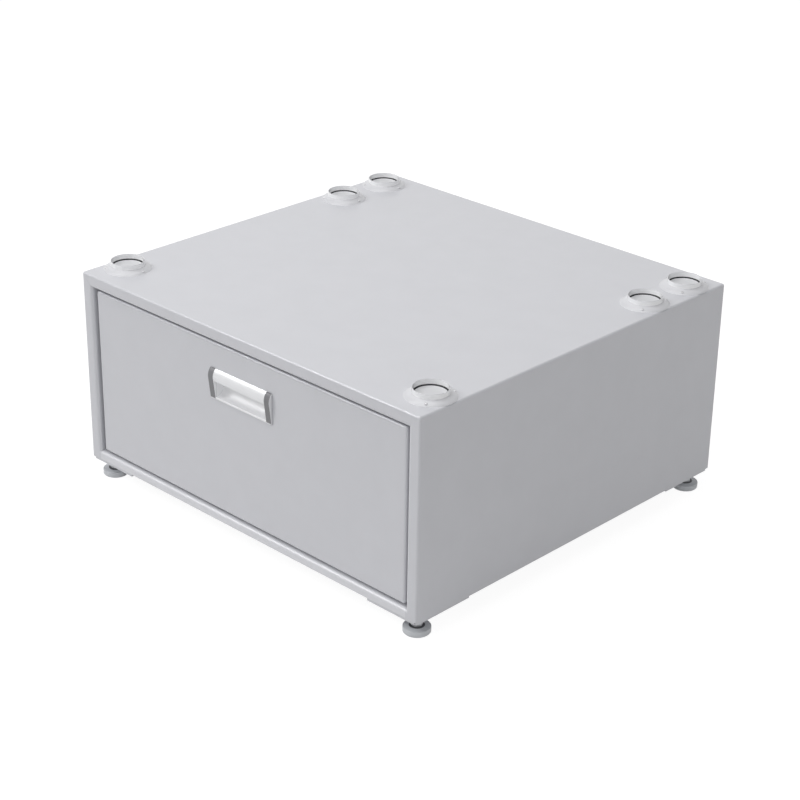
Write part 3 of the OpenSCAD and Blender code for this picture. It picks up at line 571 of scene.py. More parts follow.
class PedestalFinish(bpy.types.PropertyGroup):
    """Colours and gloss."""
    enamel: colour("Enamel", "Cabinet and drawer front", (0.585, 0.589, 0.622))
    enamel_roughness: amount("Enamel roughness", "Gloss of the enamel, from shiny to dull", 0.40)
    inner: colour("Inner enamel", "Tray and back panel", (0.50, 0.503, 0.525))
    zinc: colour("Zinc", "Slides, nuts and screws", (0.62, 0.63, 0.645))
    # Lighter copy of the enamel on the sill: painted light standing in for the brighter light that falls
    # on it near the floor.
    sill: colour("Sill", "Sill under the drawer", (0.665, 0.669, 0.70))
    cup: colour("Cup", "Cups on the top panel", (0.62, 0.623, 0.648))
    # Lighter copy of the cup's colour on the collar's upright walls: painted light, lifting their
    # shading to the level of the top-facing parts.
    collar: colour("Collar", "Upright walls of the cups", (0.93, 0.933, 0.945))
    # Whiter copy of the aluminium in the scoop: painted light, lifting the shade under the lip.
    scoop: colour("Scoop", "Inside of the handle, under its lip", (0.92, 0.923, 0.935))
    rivet: colour("Rivet", "Rivets in the cups' flanges", (0.50, 0.50, 0.51))
    aluminium: colour("Aluminium", "Handle profile", (0.78, 0.785, 0.80))
    cap: colour("Cap", "Handle end caps", (0.185, 0.185, 0.195))
    # Light colour on the caps' sides and lower edge: painted light, not a trim of its own.
    cheek: colour("Cheek", "Cheeks beside the handle's end caps", (0.74, 0.744, 0.765))
    foot: colour("Foot", "Feet", (0.63, 0.648, 0.675))
    # Near-black colour of the ring round each stud: painted shade.
    socket: colour("Socket", "Ring round each foot's stud", (0.06, 0.062, 0.07))
    pad: colour("Pad", "Pads in the cups", (0.62, 0.624, 0.64))
    # This dark colour also paints the shade ring round each cup's pad.
    rubber: colour("Rubber", "Stops behind the slides, and seals in the cups", (0.045, 0.045, 0.048))


class PedestalStage(bpy.types.PropertyGroup):
    """Light and floor."""
    sky: FloatProperty(name="Sky", description="Strength of the even light from all round",
                       default=0.31, min=0.0)
    top_lamp: power("Top lamp", "Power of the lamp overhead", 28.5)
    front_lamp: power("Front lamp", "Power of the lamp at the front left", 155.0)
    side_lamp: power("Side lamp", "Power of the lamp at the front right", 21.0)
    floor_glow: amount("Floor glow", "Share of the floor's white that no shadow takes away", 0.92)


# ---- Cabinet ----

# Millimetres: a point this far beside a bend keeps the flat next to it flat
FLAT_GUARD = 0.1
# Inner radius of folds that hardly show
TIGHT_BEND = 0.3
# Radius that is left to the corners of the sheet's inner lines
LEAST_RADIUS = 0.04
# The roll's own rows start this far before it
ROLL_MARGIN = 0.5
# The mitre's groove starts this far inside the bend, and lies on points no deeper than this
SEAM_START, SEAM_FACE = 0.3, 0.02
# Points of the roll lie at least this far inside the stile's edge
EDGE_TOLERANCE = 1e-6


def wrap_surface(s):
    """The folded section (depth w behind the outline, y) carried up one wall, across the top and down
    the other. At depth w the outline is w narrower at each side and w * head / stile lower, and its
    corners are rounded by bend - w. A shallow V along the front face marks the mitred joint, and the
    walls' lower corners are cut where y + z is less than the cut. Beside the sill the rolled inner edge
    lies no deeper than the sill's own roll does at that height, so the two meet in a mitre."""
    edge = 3 * s.sheet
    section = folded([(s.rear_flange, s.depth), (edge + FLAT_GUARD, s.depth), (edge, s.depth),
                      (0, s.depth), (0, 0), (edge, 0), (edge + FLAT_GUARD, 0), (s.stile, 0),
                      (s.stile, s.lip)],
                     s.sheet, [0, 0, TIGHT_BEND, s.face_bend - s.sheet, 0, 0, s.roll - s.sheet], steps=9)
    w, y = section.T
    outer_line = np.arange(len(w)) < len(w) // 2
    rolled = outer_line & (w > s.stile - s.roll - ROLL_MARGIN) & (w < s.stile - EDGE_TOLERANCE)
    low = np.linspace(s.sill - s.roll, s.sill, 7)[:, None]
    reach = s.roll - np.sqrt(np.maximum(s.roll ** 2 - (low - s.sill + s.roll) ** 2, 0.0))
    r = np.maximum(s.bend - w, LEAST_RADIUS)
    half, top = s.width / 2 - w, s.height - w * s.head / s.stile
    a = np.radians(np.linspace(0, 90, 9))[:, None]
    one = np.ones_like(w)
    # Rows up the wall: two at its foot, those beside the sill, one under the corner, the corner's own,
    # and two across the top
    sill_row = 2
    seam_row = sill_row + len(low)
    corner_row = seam_row + 1
    x_half = np.concatenate([np.tile(half, (corner_row, 1)), half - r + r * np.cos(a),
                             [half - r - s.seam, 0 * one]])
    z_half = np.concatenate([[0 * one, s.corner_cut * one], low * one, [top - r - s.seam],
                             top - r + r * np.sin(a), [top, top]])
    groove = np.zeros_like(x_half)
    grooved = (w > s.bend + SEAM_START) & (y < SEAM_FACE)
    groove[corner_row:corner_row + len(a)] = s.seam_depth * grooved
    y_half = y + groove
    y_half[:sill_row, rolled] = 0.0
    y_half[sill_row:seam_row, rolled] = np.minimum(y_half[sill_row:seam_row, rolled], reach)
    near = w < edge + FLAT_GUARD / 2
    short = np.maximum(s.corner_cut - z_half, -1)
    y_half = np.where(near, np.clip(y_half, short, s.depth - short), y_half)
    right = np.stack([x_half, y_half, z_half], axis=2)
    left = right[-2::-1] * np.array([-1.0, 1.0, 1.0])
    return grid(np.concatenate([right, left]), wrap_v=True, caps=True)


def base_flange_surface(s):
    """The flange under the right wall, cut back behind the sill and before the rear rail."""
    inner, open_x = s.width / 2 - s.base_flange, s.width / 2 - s.stile
    wall, back_x = s.width / 2 - s.sheet, s.width / 2 - s.rear_flange
    far = s.depth - s.sheet
    outline = [(inner, s.rail), (open_x, s.rail), (open_x, s.sheet), (wall, s.sheet), (wall, far),
               (back_x, far), (back_x, s.depth - s.rail), (inner, s.depth - s.rail)]
    return extrude(np.array(outline, float), 2, 0.0, s.sheet)


class PEDESTAL_OT_cabinet_wrap(bpy.types.Operator):
    """Folded sheet of the cabinet: top, side walls, front frame and flanges"""
    bl_idname = "pedestal.cabinet_wrap"
    bl_label = "Cabinet wrap"

    def execute(self, context):
        s = in_mm(context.scene.pedestal_cabinet)
        flange = base_flange_surface(s)
        piece("cabinet_wrap", [wrap_surface(s), flange, mirrored(flange)], finishes(context).panel,
              "cabinet", ["cabinet_shell"])
        return {"FINISHED"}


class PEDESTAL_OT_rails(bpy.types.Operator):
    """Sill under the drawer and rail across the back"""
    bl_idname = "pedestal.rails"
    bl_label = "Sill and rear rail"

    def execute(self, context):
        s = in_mm(context.scene.pedestal_cabinet)
        f = finishes(context)
        sill = folded([(s.rail, s.sill), (0, s.sill), (0, 0), (s.rail, 0)], s.sheet,
                      [s.roll - s.sheet, TIGHT_BEND], steps=9)
        half = s.width / 2 - s.stile
        # The sill's lighter enamel is painted light.
        piece("sill_rail", [extrude(sill, 0, -half, half)], f.sill, "cabinet", ["front_sill"])
        near, far, wall = s.depth - s.rail, s.depth, s.depth - s.sheet
        shelf, tight = s.rear_rail - s.sheet, TIGHT_BEND
        rail = rounded([(far, 0), (far, s.rear_rail + s.upstand), (wall, s.rear_rail + s.upstand),
                        (wall, s.rear_rail), (near, s.rear_rail), (near, shelf), (wall, shelf),
                        (wall, s.sheet), (near, s.sheet), (near, 0)],
                       [1.2, tight, tight, 0.8, tight, tight, 0.4, 0.4, tight, tight])
        span = s.width / 2 - s.rear_flange
        piece("rear_channel", [extrude(rail, 0, -span, span)], f.panel, "cabinet",
              ["rear_rail"])
        return {"FINISHED"}


# ---- Cups ----

# Millimetres: height of the skirt at its outer edge, and its bulge as a share of its width
SKIRT_EDGE, SKIRT_BULGE = 0.15, 0.1
# How far the ledge reaches inside the seat
LEDGE = 1.0
# Depth of the dish in a pad's top, and where its raised rim ends and the dish starts, in from its edge
PAD_DISH, PAD_RIM, PAD_SLOPE = 0.25, 2.4, 2.9
# Distances of the dark ring's outer and inner faces from the collar. The ring is painted shade, standing
# in for the shadow gap between pad and collar
SHADE_RING_OUT, SHADE_RING_IN = 0.03, 0.3
# Faces whose normals rise or fall less than this are the collar's upright walls, which wear a lighter
# copy of the cup's colour: painted light that lifts their shading
UPRIGHT = 0.4
# Steps round a cup
RING_STEPS = 120


def skirt_height(s, flange_r, r):
    """Height of the cup's skirt at radius r: straight from its outer edge up to the collar, plus a bulge
    of a tenth of its width times the sine of the share of the way and times the share that is left."""
    share = (flange_r - r) / (flange_r - s.seat - s.wall)
    bulge = SKIRT_BULGE * (flange_r - s.seat) * np.sin(math.pi * share) * (1 - share)
    return SKIRT_EDGE + (s.skirt - SKIRT_EDGE) * share + bulge


def cup_profile(s, flange_r):
    """Closed section of the cup's ring: a skirt, a hollow corner of three points up to the collar, the
    collar with its round rim, and a ledge with a round edge."""
    outer, edge = s.seat + s.wall, flange_r - 0.05
    inner, rim = s.seat - LEDGE, s.height - s.wall / 2
    r = np.linspace(edge, outer + 0.8, 16)
    return np.concatenate([
        [(inner, 0.0), (edge, 0.0)], np.column_stack([r, skirt_height(s, flange_r, r)]),
        [(outer + 0.3, s.skirt - 0.1), (outer + 0.05, s.skirt + 0.25), (outer, s.skirt + 0.6),
         (outer, rim - 0.3)],
        arc(s.seat + s.wall / 2, rim, s.wall / 2, 0, 180, 10),
        [(s.seat, rim - 0.3), (s.seat, s.ledge + 0.5)],
        arc(s.seat - 0.4, s.ledge + 0.4, 0.4, 0, -90, 4),
        [(inner, s.ledge)]])


def pad_profile(s, r, h):
    """Section of a pad from its middle below to its middle above: a round edge, a rim and a dish."""
    dish = h - PAD_DISH
    return np.concatenate([
        [(0.0, 0.0), (r, 0.0), (r, h - s.pad_edge - 0.2)],
        arc(r - s.pad_edge, h - s.pad_edge, s.pad_edge, 0, 90, 6),
        [(r - PAD_RIM, h), (r - PAD_SLOPE, dish), (r * 0.5, dish), (0.0, dish)]])


def seal_profile(s, pad_h):
    """Closed section of the dark ring that lines the collar just above the pad: painted shade standing
    in for the shadow gap between pad and collar.
    """
    near, far, top = s.seat - SHADE_RING_IN, s.seat - SHADE_RING_OUT, pad_h + s.seal
    return np.array([(near, s.ledge), (far, s.ledge), (far, top), (near, top - 0.2)])


class PEDESTAL_OT_cups(bpy.types.Operator):
    """Six cups on the top panel, with the pads in them"""
    bl_idname = "pedestal.cups"
    bl_label = "Cups and pads"

    def execute(self, context):
        s = in_mm(context.scene.pedestal_cup)
        f = finishes(context)
        for place in CUPS:
            low, high = local_box(f"cup_{place}")
            centre = (low + high) / 2
            centre[2] = low[2]
            ring = lathe(cup_profile(s, (high[0] - low[0]) / 2), centre, RING_STEPS)
            made = piece(f"cup_ring_{place}", [ring], (f.cup, f.collar), "cabinet",
                         [f"cup_{place}"])
            # The upright walls get the lighter collar colour: painted light.
            tint_faces(made, lambda n, c: np.abs(n[:, 2]) < UPRIGHT)
            low, high = local_box(f"cup_pad_{place}")
            pad_r, pad_h = (high[0] - low[0]) / 2, high[2] - low[2]
            pad = lathe(pad_profile(s, pad_r, pad_h), centre, 96, closed=False)
            # Dark ring above the pad: painted shade for the gap between pad and collar.
            seal = tinted(lathe(seal_profile(s, pad_h), centre, RING_STEPS), 1)
            piece(f"cup_seat_{place}", [pad, seal], (f.pad, f.bumper), "cabinet",
                  [f"cup_pad_{place}"])
        return {"FINISHED"}


# Degrees round a cup, from the side nearer the pedestal's middle
RIVET_ANGLES = (5.0, 120.0, 238.0)
# Millimetres: radius of both heads, height of the dome, radius of the shank, and how far the dome
# sits in the skirt's slope
RIVET_HEAD, RIVET_DOME, RIVET_SHANK, RIVET_SINK = 2.0, 1.2, 1.4, 0.25


def rivet_centres(s):
    """Places of the rivets: three on a circle round each cup's skirt, mirrored from left to right."""
    a = np.radians(180 - np.array(RIVET_ANGLES))
    ring = s.rivet_ring * np.stack([np.cos(a), np.sin(a)], axis=1)
    places = []
    for place in CUPS:
        low, high = local_box(f"cup_{place}")
        centre = (low + high) / 2
        sign = math.copysign(1.0, centre[0])
        rest = low[2] + skirt_height(s, high[0] - centre[0], s.rivet_ring) - RIVET_SINK
        places.append(np.column_stack([centre[0] + sign * ring[:, 0], centre[1] + ring[:, 1],
                                       np.full(len(ring), rest)]))
    return np.concatenate(places)


def rivet_profile(below):
    """Section of a rivet from its lower head, whose seat is at the given height, up to its dome."""
    a = np.radians(np.linspace(5, 90, 8))
    return np.concatenate([
        [(0.0, below - 1.0), (1.7, below - 1.0), (RIVET_HEAD, below - 0.7), (RIVET_HEAD, below),
         (RIVET_SHANK, below), (RIVET_SHANK, 0.0), (1.95, 0.0)],
        np.stack([RIVET_HEAD * np.cos(a), RIVET_DOME * np.sin(a)], axis=1)])


class PEDESTAL_OT_rivets(bpy.types.Operator):
    """Domed rivets that hold the cups"""
    bl_idname = "pedestal.rivets"
    bl_label = "Cup rivets"

    def execute(self, context):
        s = in_mm(context.scene.pedestal_cup)
        shell = in_mm(context.scene.pedestal_cabinet)
        below = -skirt_height(s, s.skirt_edge, s.rivet_ring) + RIVET_SINK - shell.sheet
        profile = rivet_profile(below)
        piece("cup_rivet_heads", [lathe(profile, c, 28, closed=False) for c in rivet_centres(s)],
              finishes(context).rivet, "cabinet", ["cup_rivets"])
        return {"FINISHED"}


# ---- Drawer front and handle ----

# Millimetres: how far the handle laps over its opening's edges, the opening's corner radius, and the
# rounding of its front edge
WINDOW_LAP, WINDOW_CORNER, WINDOW_SOFT = 1.0, 0.6, 0.15


def ring_outline(low, high, inset, radius, y):
    """Rounded rectangle in x and z at depth y, set in by the inset from the low and high corners."""
    x0, z0, x1, z1 = low[0] + inset, low[1] + inset, high[0] - inset, high[1] - inset
    outline = rounded([(x0, z0), (x1, z0), (x1, z1), (x0, z1)], [max(radius, 0.05)] * 4, guard=0.2)
    return np.insert(outline, 1, y, axis=1)


def panel_section(s, face, back):
    """Section through the drawer front's rim as pairs of inset and depth: the bend from the face, the
    edge with its corner cut round, the flange behind, and the same way back inside the sheet."""
    t, r = s.sheet, s.edge
    bend = [(r * (1 - math.sin(k)), face + r * (1 - math.cos(k)))
            for k in np.radians(np.linspace(0, 90, 8))]
    return [(r + 0.4, face)] + bend + [
        (0.0, back - 0.6), (0.15, back - 0.15), (0.6, back), (t + s.flange, back),
        (t + s.flange, back - t), (t + 0.4, back - t), (t, back - t - 0.4), (t, face + r + 0.2),
        (t + 0.4, face + t + 0.3), (r + 0.4, face + t)]


class PEDESTAL_OT_drawer_panel(bpy.types.Operator):
    """Drawer front: one sheet folded round all four edges, with the opening for the handle"""
    bl_idname = "pedestal.drawer_panel"
    bl_label = "Drawer front"

    def execute(self, context):
        s = in_mm(context.scene.pedestal_drawer)
        low, high = local_box("drawer_front")
        cap_low, cap_high = local_box("handle_cap_left")
        window_low = np.array([cap_low[0] + WINDOW_LAP, cap_low[2] + WINDOW_LAP])
        window_high = np.array([-cap_low[0] - WINDOW_LAP, cap_high[2] - WINDOW_LAP])
        face, back = low[1], high[1]
        loops = [ring_outline(low[[0, 2]], high[[0, 2]], inset, s.corner - inset, y)
                 for inset, y in panel_section(s, face, back)]
        loops += [ring_outline(window_low, window_high, 0.0, WINDOW_CORNER, y)
                  for y in (face + s.sheet, face + WINDOW_SOFT)]
        loops.append(ring_outline(window_low, window_high, -WINDOW_SOFT, WINDOW_CORNER + WINDOW_SOFT,
                                  face))
        piece("drawer_panel", [grid(np.array(loops), wrap_u=True, wrap_v=True)], finishes(context).face,
              "drawer", ["drawer_front"])
        return {"FINISHED"}


# Millimetres: distance of the scoop's centre in front of the drawer front, radius of the hollow behind
# the lip, and the height at which the scoop's lighter copy of the aluminium starts: painted light that
# lifts the shade under the lip
SCOOP_OUT, HOLLOW, SCOOP_START = 0.9, 5.0, 2.4
# End caps: depth of the body behind the face, how far it is set in at top and bottom and at its outer
# side, the rounding of its corners, and the radius of the screw's post
CAP_BODY, CAP_IN_Z, CAP_IN_X, CAP_ROUND, CAP_POST = 15.6, 1.3, 1.2, 0.8, 3.7
# Rounding of a cap's outer end: distance from its end, and how far the outline is moved inwards
CAP_EDGE = ((1.0, 0.0), (0.6, 0.0), (0.18, 0.18), (0.0, 0.6))
# Faces of a cap that point sideways by more than this, or lie lower than this, wear its light side
# colour: painted light for its lit sides and the glint along its lower edge
SIDEWAYS, LIT_EDGE_TOP = 0.8, 1.0
# Faces of the profile that point sideways by less than this can wear the scoop's lighter finish, which
# is painted light
ALONG = 0.5


def handle_frame():
    """Face of the drawer front, the handle's low edge and height, and its half widths without and with
    the caps."""
    bar_low, bar_high = local_box("handle_bar")
    cap_low = local_box("handle_cap_left")[0]
    face = local_box("drawer_front")[0][1]
    return SimpleNamespace(face=face, low=bar_low[2], height=bar_high[2] - bar_low[2],
                           bar=bar_high[0], cap=-cap_low[0])


def angle_at(rise, radius):
    """Degrees above the level at which a circle of the radius has risen this far from its centre."""
    return math.degrees(math.asin(rise / radius))


def handle_outline(s, height):
    """Closed section of the profile, u outwards and v up: a rim, the scoop's arc, the hollow behind
    the lip, and the lip as two arcs about one centre, with a round free edge."""
    su, sv = SCOOP_OUT, s.scoop + s.scoop_foot
    top_u, top_v = su - s.scoop + HOLLOW, height - s.hollow_drop
    bu, bv = s.lip_out - s.bulge, height - s.bulge_drop
    inner = s.bulge - s.wall
    high_a, low_a = angle_at(height - bv, s.bulge), angle_at(s.lip_edge - bv, s.bulge)
    in_a = angle_at(top_v - bv, inner)
    tip = low_a + math.degrees(0.5 * s.wall / s.bulge)
    middle = (s.bulge + inner) / 2
    edge_u = bu + middle * math.cos(math.radians(tip))
    edge_v = bv + middle * math.sin(math.radians(tip))
    return np.concatenate([
        [(0.0, 0.2), (0.2, 0.0), (1.1, 0.0)], arc(1.1, 0.5, 0.5, -90, 0, 4), [(1.6, 2.0)],
        arc(1.2, 2.3, 0.4, 0, 60, 3),
        arc(su, sv, s.scoop, 269, 180, 26), arc(top_u, top_v - HOLLOW, HOLLOW, 178, 90, 12),
        arc(bu, bv, inner, in_a, tip, 18),
        arc(edge_u, edge_v, s.wall / 2, low_a + 180, low_a + 360, 8)[1:-1],
        arc(bu, bv, s.bulge, tip, high_a - 2.5, 26),
        [(0.5, height), (0.0, height), (0.0, height - 1.2)],
        arc(top_u, top_v - HOLLOW, HOLLOW + s.wall, 90, 180, 12),
        arc(su, sv, s.scoop + s.wall, 180, 266, 24), [(0.0, 1.4)]])


# Where a cap's straight front face starts: distance in front of the drawer front, and height
CAP_FOOT = (2.0, 1.4)


def cap_outline(s, height):
    """Closed section of a cap: a straight face from the lower rim to where it touches the bulge,
    and then round the bulge to the top."""
    r = s.bulge + s.proud
    bu, bv = s.lip_out - s.bulge, height - s.bulge_drop
    run = np.subtract(CAP_FOOT, (bu, bv))
    touch = math.degrees(math.atan2(run[1], run[0]) + math.acos(r / np.linalg.norm(run)))
    high_a = angle_at(height - bv, s.bulge) - 4
    return np.concatenate([
        [(0.0, 0.2), (0.2, 0.0), (1.3, 0.0)], arc(1.3, 0.7, 0.7, -90, -10, 4), [CAP_FOOT],
        arc(bu, bv, r, touch, high_a, 26),
        [(1.6, height - 0.15), (1.2, height), (0.2, height), (0.0, height - 0.2)]])


def unit_rows(vectors):
    """Each row of the array brought to length one."""
    return vectors / np.maximum(np.linalg.norm(vectors, axis=1), 1e-9)[:, None]


def inset_outline(outline, distance):
    """The closed outline moved inwards: each point shifts along the mean of its two edge normals."""
    ahead = unit_rows(np.roll(outline, -1, axis=0) - outline)
    both = unit_rows(ahead + np.roll(ahead, 1, axis=0))
    return outline + distance * np.stack([-both[:, 1], both[:, 0]], axis=1)


def handle_section(outline, h, x):
    """A (u, v) outline at the given x on the drawer front."""
    return np.column_stack([np.full(len(outline), x), h.face - outline[:, 0], h.low + outline[:, 1]])


def cap_surfaces(s, h, side, sign):
    """Skin, body and post of an end cap: the outline carried outwards with a rounded end, a block behind
    the drawer front, and a round post that takes the screw."""
    outline = cap_outline(s, h.height)
    stations = [(h.bar, 0.25), (h.bar + 0.25, 0.0)] + [(h.cap - x, d) for x, d in CAP_EDGE]
    skin = grid([handle_section(inset_outline(outline, d), h, sign * x) for x, d in stations],
                wrap_v=True, caps=True)
    x0, x1 = sorted((sign * h.bar, sign * (h.cap - CAP_IN_X)))
    body = slab((x0, h.face + 0.02, h.low + CAP_IN_Z),
                (x1, h.face + CAP_BODY, h.low + h.height - CAP_IN_Z), 1, CAP_ROUND)
    screw_low, screw_high = local_box("handle_screws")
    x, z = sign * (h.bar + h.cap) / 2, (screw_low[2] + screw_high[2]) / 2
    a = np.linspace(0, 2 * math.pi, 32, endpoint=False)
    ring = np.stack([x + CAP_POST * np.cos(a), z + CAP_POST * np.sin(a)], axis=1)
    far = local_box(f"handle_cap_{side}")[1][1]
    return [skin, body, extrude(ring, 1, h.face + CAP_BODY, far)]


class PEDESTAL_OT_handle(bpy.types.Operator):
    """Aluminium handle profile with its scoop and rolled lip"""
    bl_idname = "pedestal.handle"
    bl_label = "Handle profile"

    def execute(self, context):
        s = in_mm(context.scene.pedestal_handle)
        h = handle_frame()
        outline = handle_outline(s, h.height)
        points = [handle_section(outline, h, x) for x in (-h.bar, h.bar)]
        f = finishes(context)
        made = piece("handle_scoop", [grid(points, wrap_v=True, caps=True)], (f.aluminium, f.scoop),
                     "drawer", ["handle_bar"])
        # The scoop's faces get the whiter copy of the aluminium: painted light.
        tint_faces(made, lambda n, c: (c[:, 2] < h.low + s.lip_edge) & (c[:, 2] > h.low + SCOOP_START)
                   & (np.abs(n[:, 0]) < ALONG))
        return {"FINISHED"}


class PEDESTAL_OT_handle_ends(bpy.types.Operator):
    """Plastic end caps of the handle, with the body and post behind each"""
    bl_idname = "pedestal.handle_ends"
    bl_label = "Handle end caps"

    def execute(self, context):
        s = in_mm(context.scene.pedestal_handle)
        h = handle_frame()
        f = finishes(context)
        for side, sign in SIDES:
            made = piece(f"handle_end_{side}", cap_surfaces(s, h, side, sign),
                         (f.cap, f.cheek, f.scoop), "drawer", [f"handle_cap_{side}"])
            # Outer sides and lower edge get the light side colour, inner sides the scoop's whiter
            # finish: both painted light.
            tint_faces(made,
                       lambda n, c: (np.abs(n[:, 0]) > SIDEWAYS) | (c[:, 2] < h.low + LIT_EDGE_TOP),
                       lambda n, c: n[:, 0] * sign < -SIDEWAYS)
        return {"FINISHED"}


# ---- Feet ----

# Millimetres: how far the disc's rim lies under its top, the radius of its round boss, the radius and
# floor of the bore for the stud, and how much the top falls for each millimetre outwards of the boss
RIM_DROP, BOSS, BORE, BORE_FLOOR = 1.2, 8.4, 4.05, 3.0
TOP_SLOPE = 0.09
# Radius of the stud's thread, and of the hole in the hexagon's end faces
STUD, HEXAGON_HOLE = 4.0, 3.3
# Rows for each turn of the thread, and the depth at its run-outs as a share of its full depth
THREAD_ROWS, RUN_OUT = 8, 0.6
# The chamfer's cone: its radius at an end face as a share of half the flats, and its growth per height
CONE_START, CONE_GROWTH = 0.97, 1.9


def disc_profiles(s, r, h):
    """Two sections that join into a disc: its sole, side and sloping top, and the dark ring, boss and
    bore round the stud. The dark ring is painted shade, standing in for the deep shadow under the
    cabinet."""
    rim, slope = h - RIM_DROP, (s.socket - BOSS) * TOP_SLOPE
    disc = np.concatenate([
        [(0.0, 0.0), (r - s.bevel - 0.3, 0.0), (r - s.bevel, 0.05), (r - 0.25, s.bevel - 0.1),
         (r, s.bevel + 0.3), (r, rim - 0.9)],
        arc(r - 0.7, rim - 0.7, 0.7, 0, 80, 5), [(s.socket, h - 0.15 - slope)]])
    socket = np.concatenate([
        disc[-1:], [(s.socket - 0.3, h - 0.4 - slope), (BOSS + 0.9, h - 0.3)],
        arc(BOSS, h - 0.5, 0.5, 60, 90, 3),
        [(4.3, h), (BORE, h - 0.3), (BORE, BORE_FLOOR), (0.0, BORE_FLOOR)]])
    return disc, socket


class PEDESTAL_OT_feet(bpy.types.Operator):
    """Discs of the levelling feet"""
    bl_idname = "pedestal.feet"
    bl_label = "Foot discs"

    def execute(self, context):
        s = in_mm(context.scene.pedestal_foot)
        f = finishes(context)
        for place in FEET:
            low, high = local_box(f"foot_disc_{place}")
            centre = ((low[0] + high[0]) / 2, (low[1] + high[1]) / 2, low[2])
            disc, socket = [lathe(profile, centre, 72, closed=False)
                            for profile in disc_profiles(s, (high[0] - low[0]) / 2, high[2] - low[2])]
            # The disc's inner ring wears the near-black painted shade.
            piece(f"foot_glide_{place}", [disc, tinted(socket, 1)], (f.foot, f.socket), f"foot_{place}",
                  [f"foot_disc_{place}"])
        return {"FINISHED"}


def thread_surface(s, centre, radius, start, end):
    """A right-hand thread: the radius falls from the crest by the depth times a flattened triangle wave
    of height over pitch minus angle over a turn, and runs out smoothly at both ends."""
    turns = (end - start) / s.pitch
    z = np.linspace(start, end, int(turns * THREAD_ROWS) + 1)[:, None]
    a = np.linspace(0, 2 * math.pi, 32, endpoint=False)[None, :]
    phase = (z / s.pitch - a / (2 * math.pi)) % 1.0
    wave = np.clip(np.abs(phase * 2 - 1) * 1.5 - 0.25, 0, 1)
    ease = np.clip(np.minimum(z - start, end - z) / s.pitch, 0, 1)
    r = radius - s.thread_depth * (wave * ease + RUN_OUT * (1 - ease))
    return grid(turned(centre, r, a, z), wrap_v=True, caps=True)


def hexagon_surface(s, centre, base):
    """A hexagon with chamfered corners: at each height the radius is the smaller of the hexagon's own,
    half the flats over the cosine within a sixth of a turn, and a cone from each end face."""
    a = np.linspace(0, 2 * math.pi, 96, endpoint=False)[None, :]
    flat = s.flats / 2 / np.cos((a % (math.pi / 3)) - math.pi / 6)
    end = np.array([0.0, 0.0, 0.12, 0.3, 0.6, 1.0])
    z = np.concatenate([end, s.hexagon - end[::-1]])[:, None]
    cone = s.flats / 2 * CONE_START + CONE_GROWTH * np.minimum(z, s.hexagon - z)
    r = np.minimum(flat, cone)
    r[[0, -1]] = HEXAGON_HOLE
    return grid(turned(centre, r, a, base + z), wrap_v=True)


class PEDESTAL_OT_foot_screws(bpy.types.Operator):
    """Threaded studs of the feet, each with its hexagon"""
    bl_idname = "pedestal.foot_screws"
    bl_label = "Foot studs"

    def execute(self, context):
        s = in_mm(context.scene.pedestal_foot)
        finish = finishes(context).zinc
        for place in FEET:
            low, high = local_box(f"foot_stud_{place}")
            top = local_box(f"foot_disc_{place}")[1][2]
            centre = ((low[0] + high[0]) / 2, (low[1] + high[1]) / 2, 0.0)
            piece(f"foot_screw_{place}",
                  [thread_surface(s, centre, STUD, low[2], high[2]), hexagon_surface(s, centre, top)],
                  finish, f"foot_{place}_screw", [f"foot_stud_{place}"], sharp=THREAD_ANGLE)
        return {"FINISHED"}


# ---- Tray ----

# Millimetres: inner radius of the folds in the back and bottom, and rounding of the flanges' edges
TRAY_BEND, FLANGE_ROUND = 0.5, 0.25


class PEDESTAL_OT_tray(bpy.types.Operator):
    """Sides, back and bottom of the drawer's tray, with folded edges"""
    bl_idname = "pedestal.tray"
    bl_label = "Drawer tray"

    def execute(self, context):
        t = in_mm(context.scene.pedestal_drawer).sheet
        finish = finishes(context).inner
        low, high = local_box("drawer_side_right")
        web = local_box("slide_inner_right")[0][0]
        wall = folded([(web, low[2]), (web, high[2] - t), (high[0], high[2] - t)], t, [TIGHT_BEND])
        right = [extrude(wall, 1, low[1], high[1]),
                 slab((low[0], low[1], low[2]), (web - t, low[1] + t, high[2]), 2, FLANGE_ROUND)]
        left = [mirrored(surface) for surface in right]
        piece("tray_side_right", right, finish, "drawer", ["drawer_side_right"])
        piece("tray_side_left", left, finish, "drawer", ["drawer_side_left"])
        low, high = local_box("drawer_back")
        back = folded([(high[1], high[2]), (low[1], high[2]), (low[1], low[2])], t, [TRAY_BEND])
        edge = high[0] - t
        cheek = slab((edge, low[1], low[2]), (high[0], high[1], high[2]), 2, FLANGE_ROUND)
        piece("tray_back", [extrude(back, 0, -edge, edge), cheek, mirrored(cheek)], finish, "drawer",
              ["drawer_back"])
        low, high = local_box("drawer_bottom")
        floor = folded([(low[1], low[2]), (low[1], high[2]), (high[1], high[2]), (high[1], low[2])], -t,
                       [TRAY_BEND, TRAY_BEND])
        edge = high[0] - t
        cheek = slab((edge, low[1], low[2]), (high[0], high[1], high[2]), 1, FLANGE_ROUND)
        piece("tray_floor", [extrude(floor, 0, -edge, edge), cheek, mirrored(cheek)], finish, "drawer",
              ["drawer_bottom"])
        return {"FINISHED"}


# ---- Slides and their supports ----

# Millimetres: sheet of the outer and of the other members, depth of the outer member's turned-in lips,
# and inner radii of the lips' and the other folds
OUTER_SHEET, INNER_SHEET, TURNED_LIP = 1.2, 1.0, 2.1
LIP_BEND, MEMBER_BEND = 0.15, 0.4
# Height of the supports' two feet against the wall, their sheet, and the inner radius of their folds
SUPPORT_FOOT, SUPPORT_SHEET, SUPPORT_BEND = 12.0, 1.5, 0.6


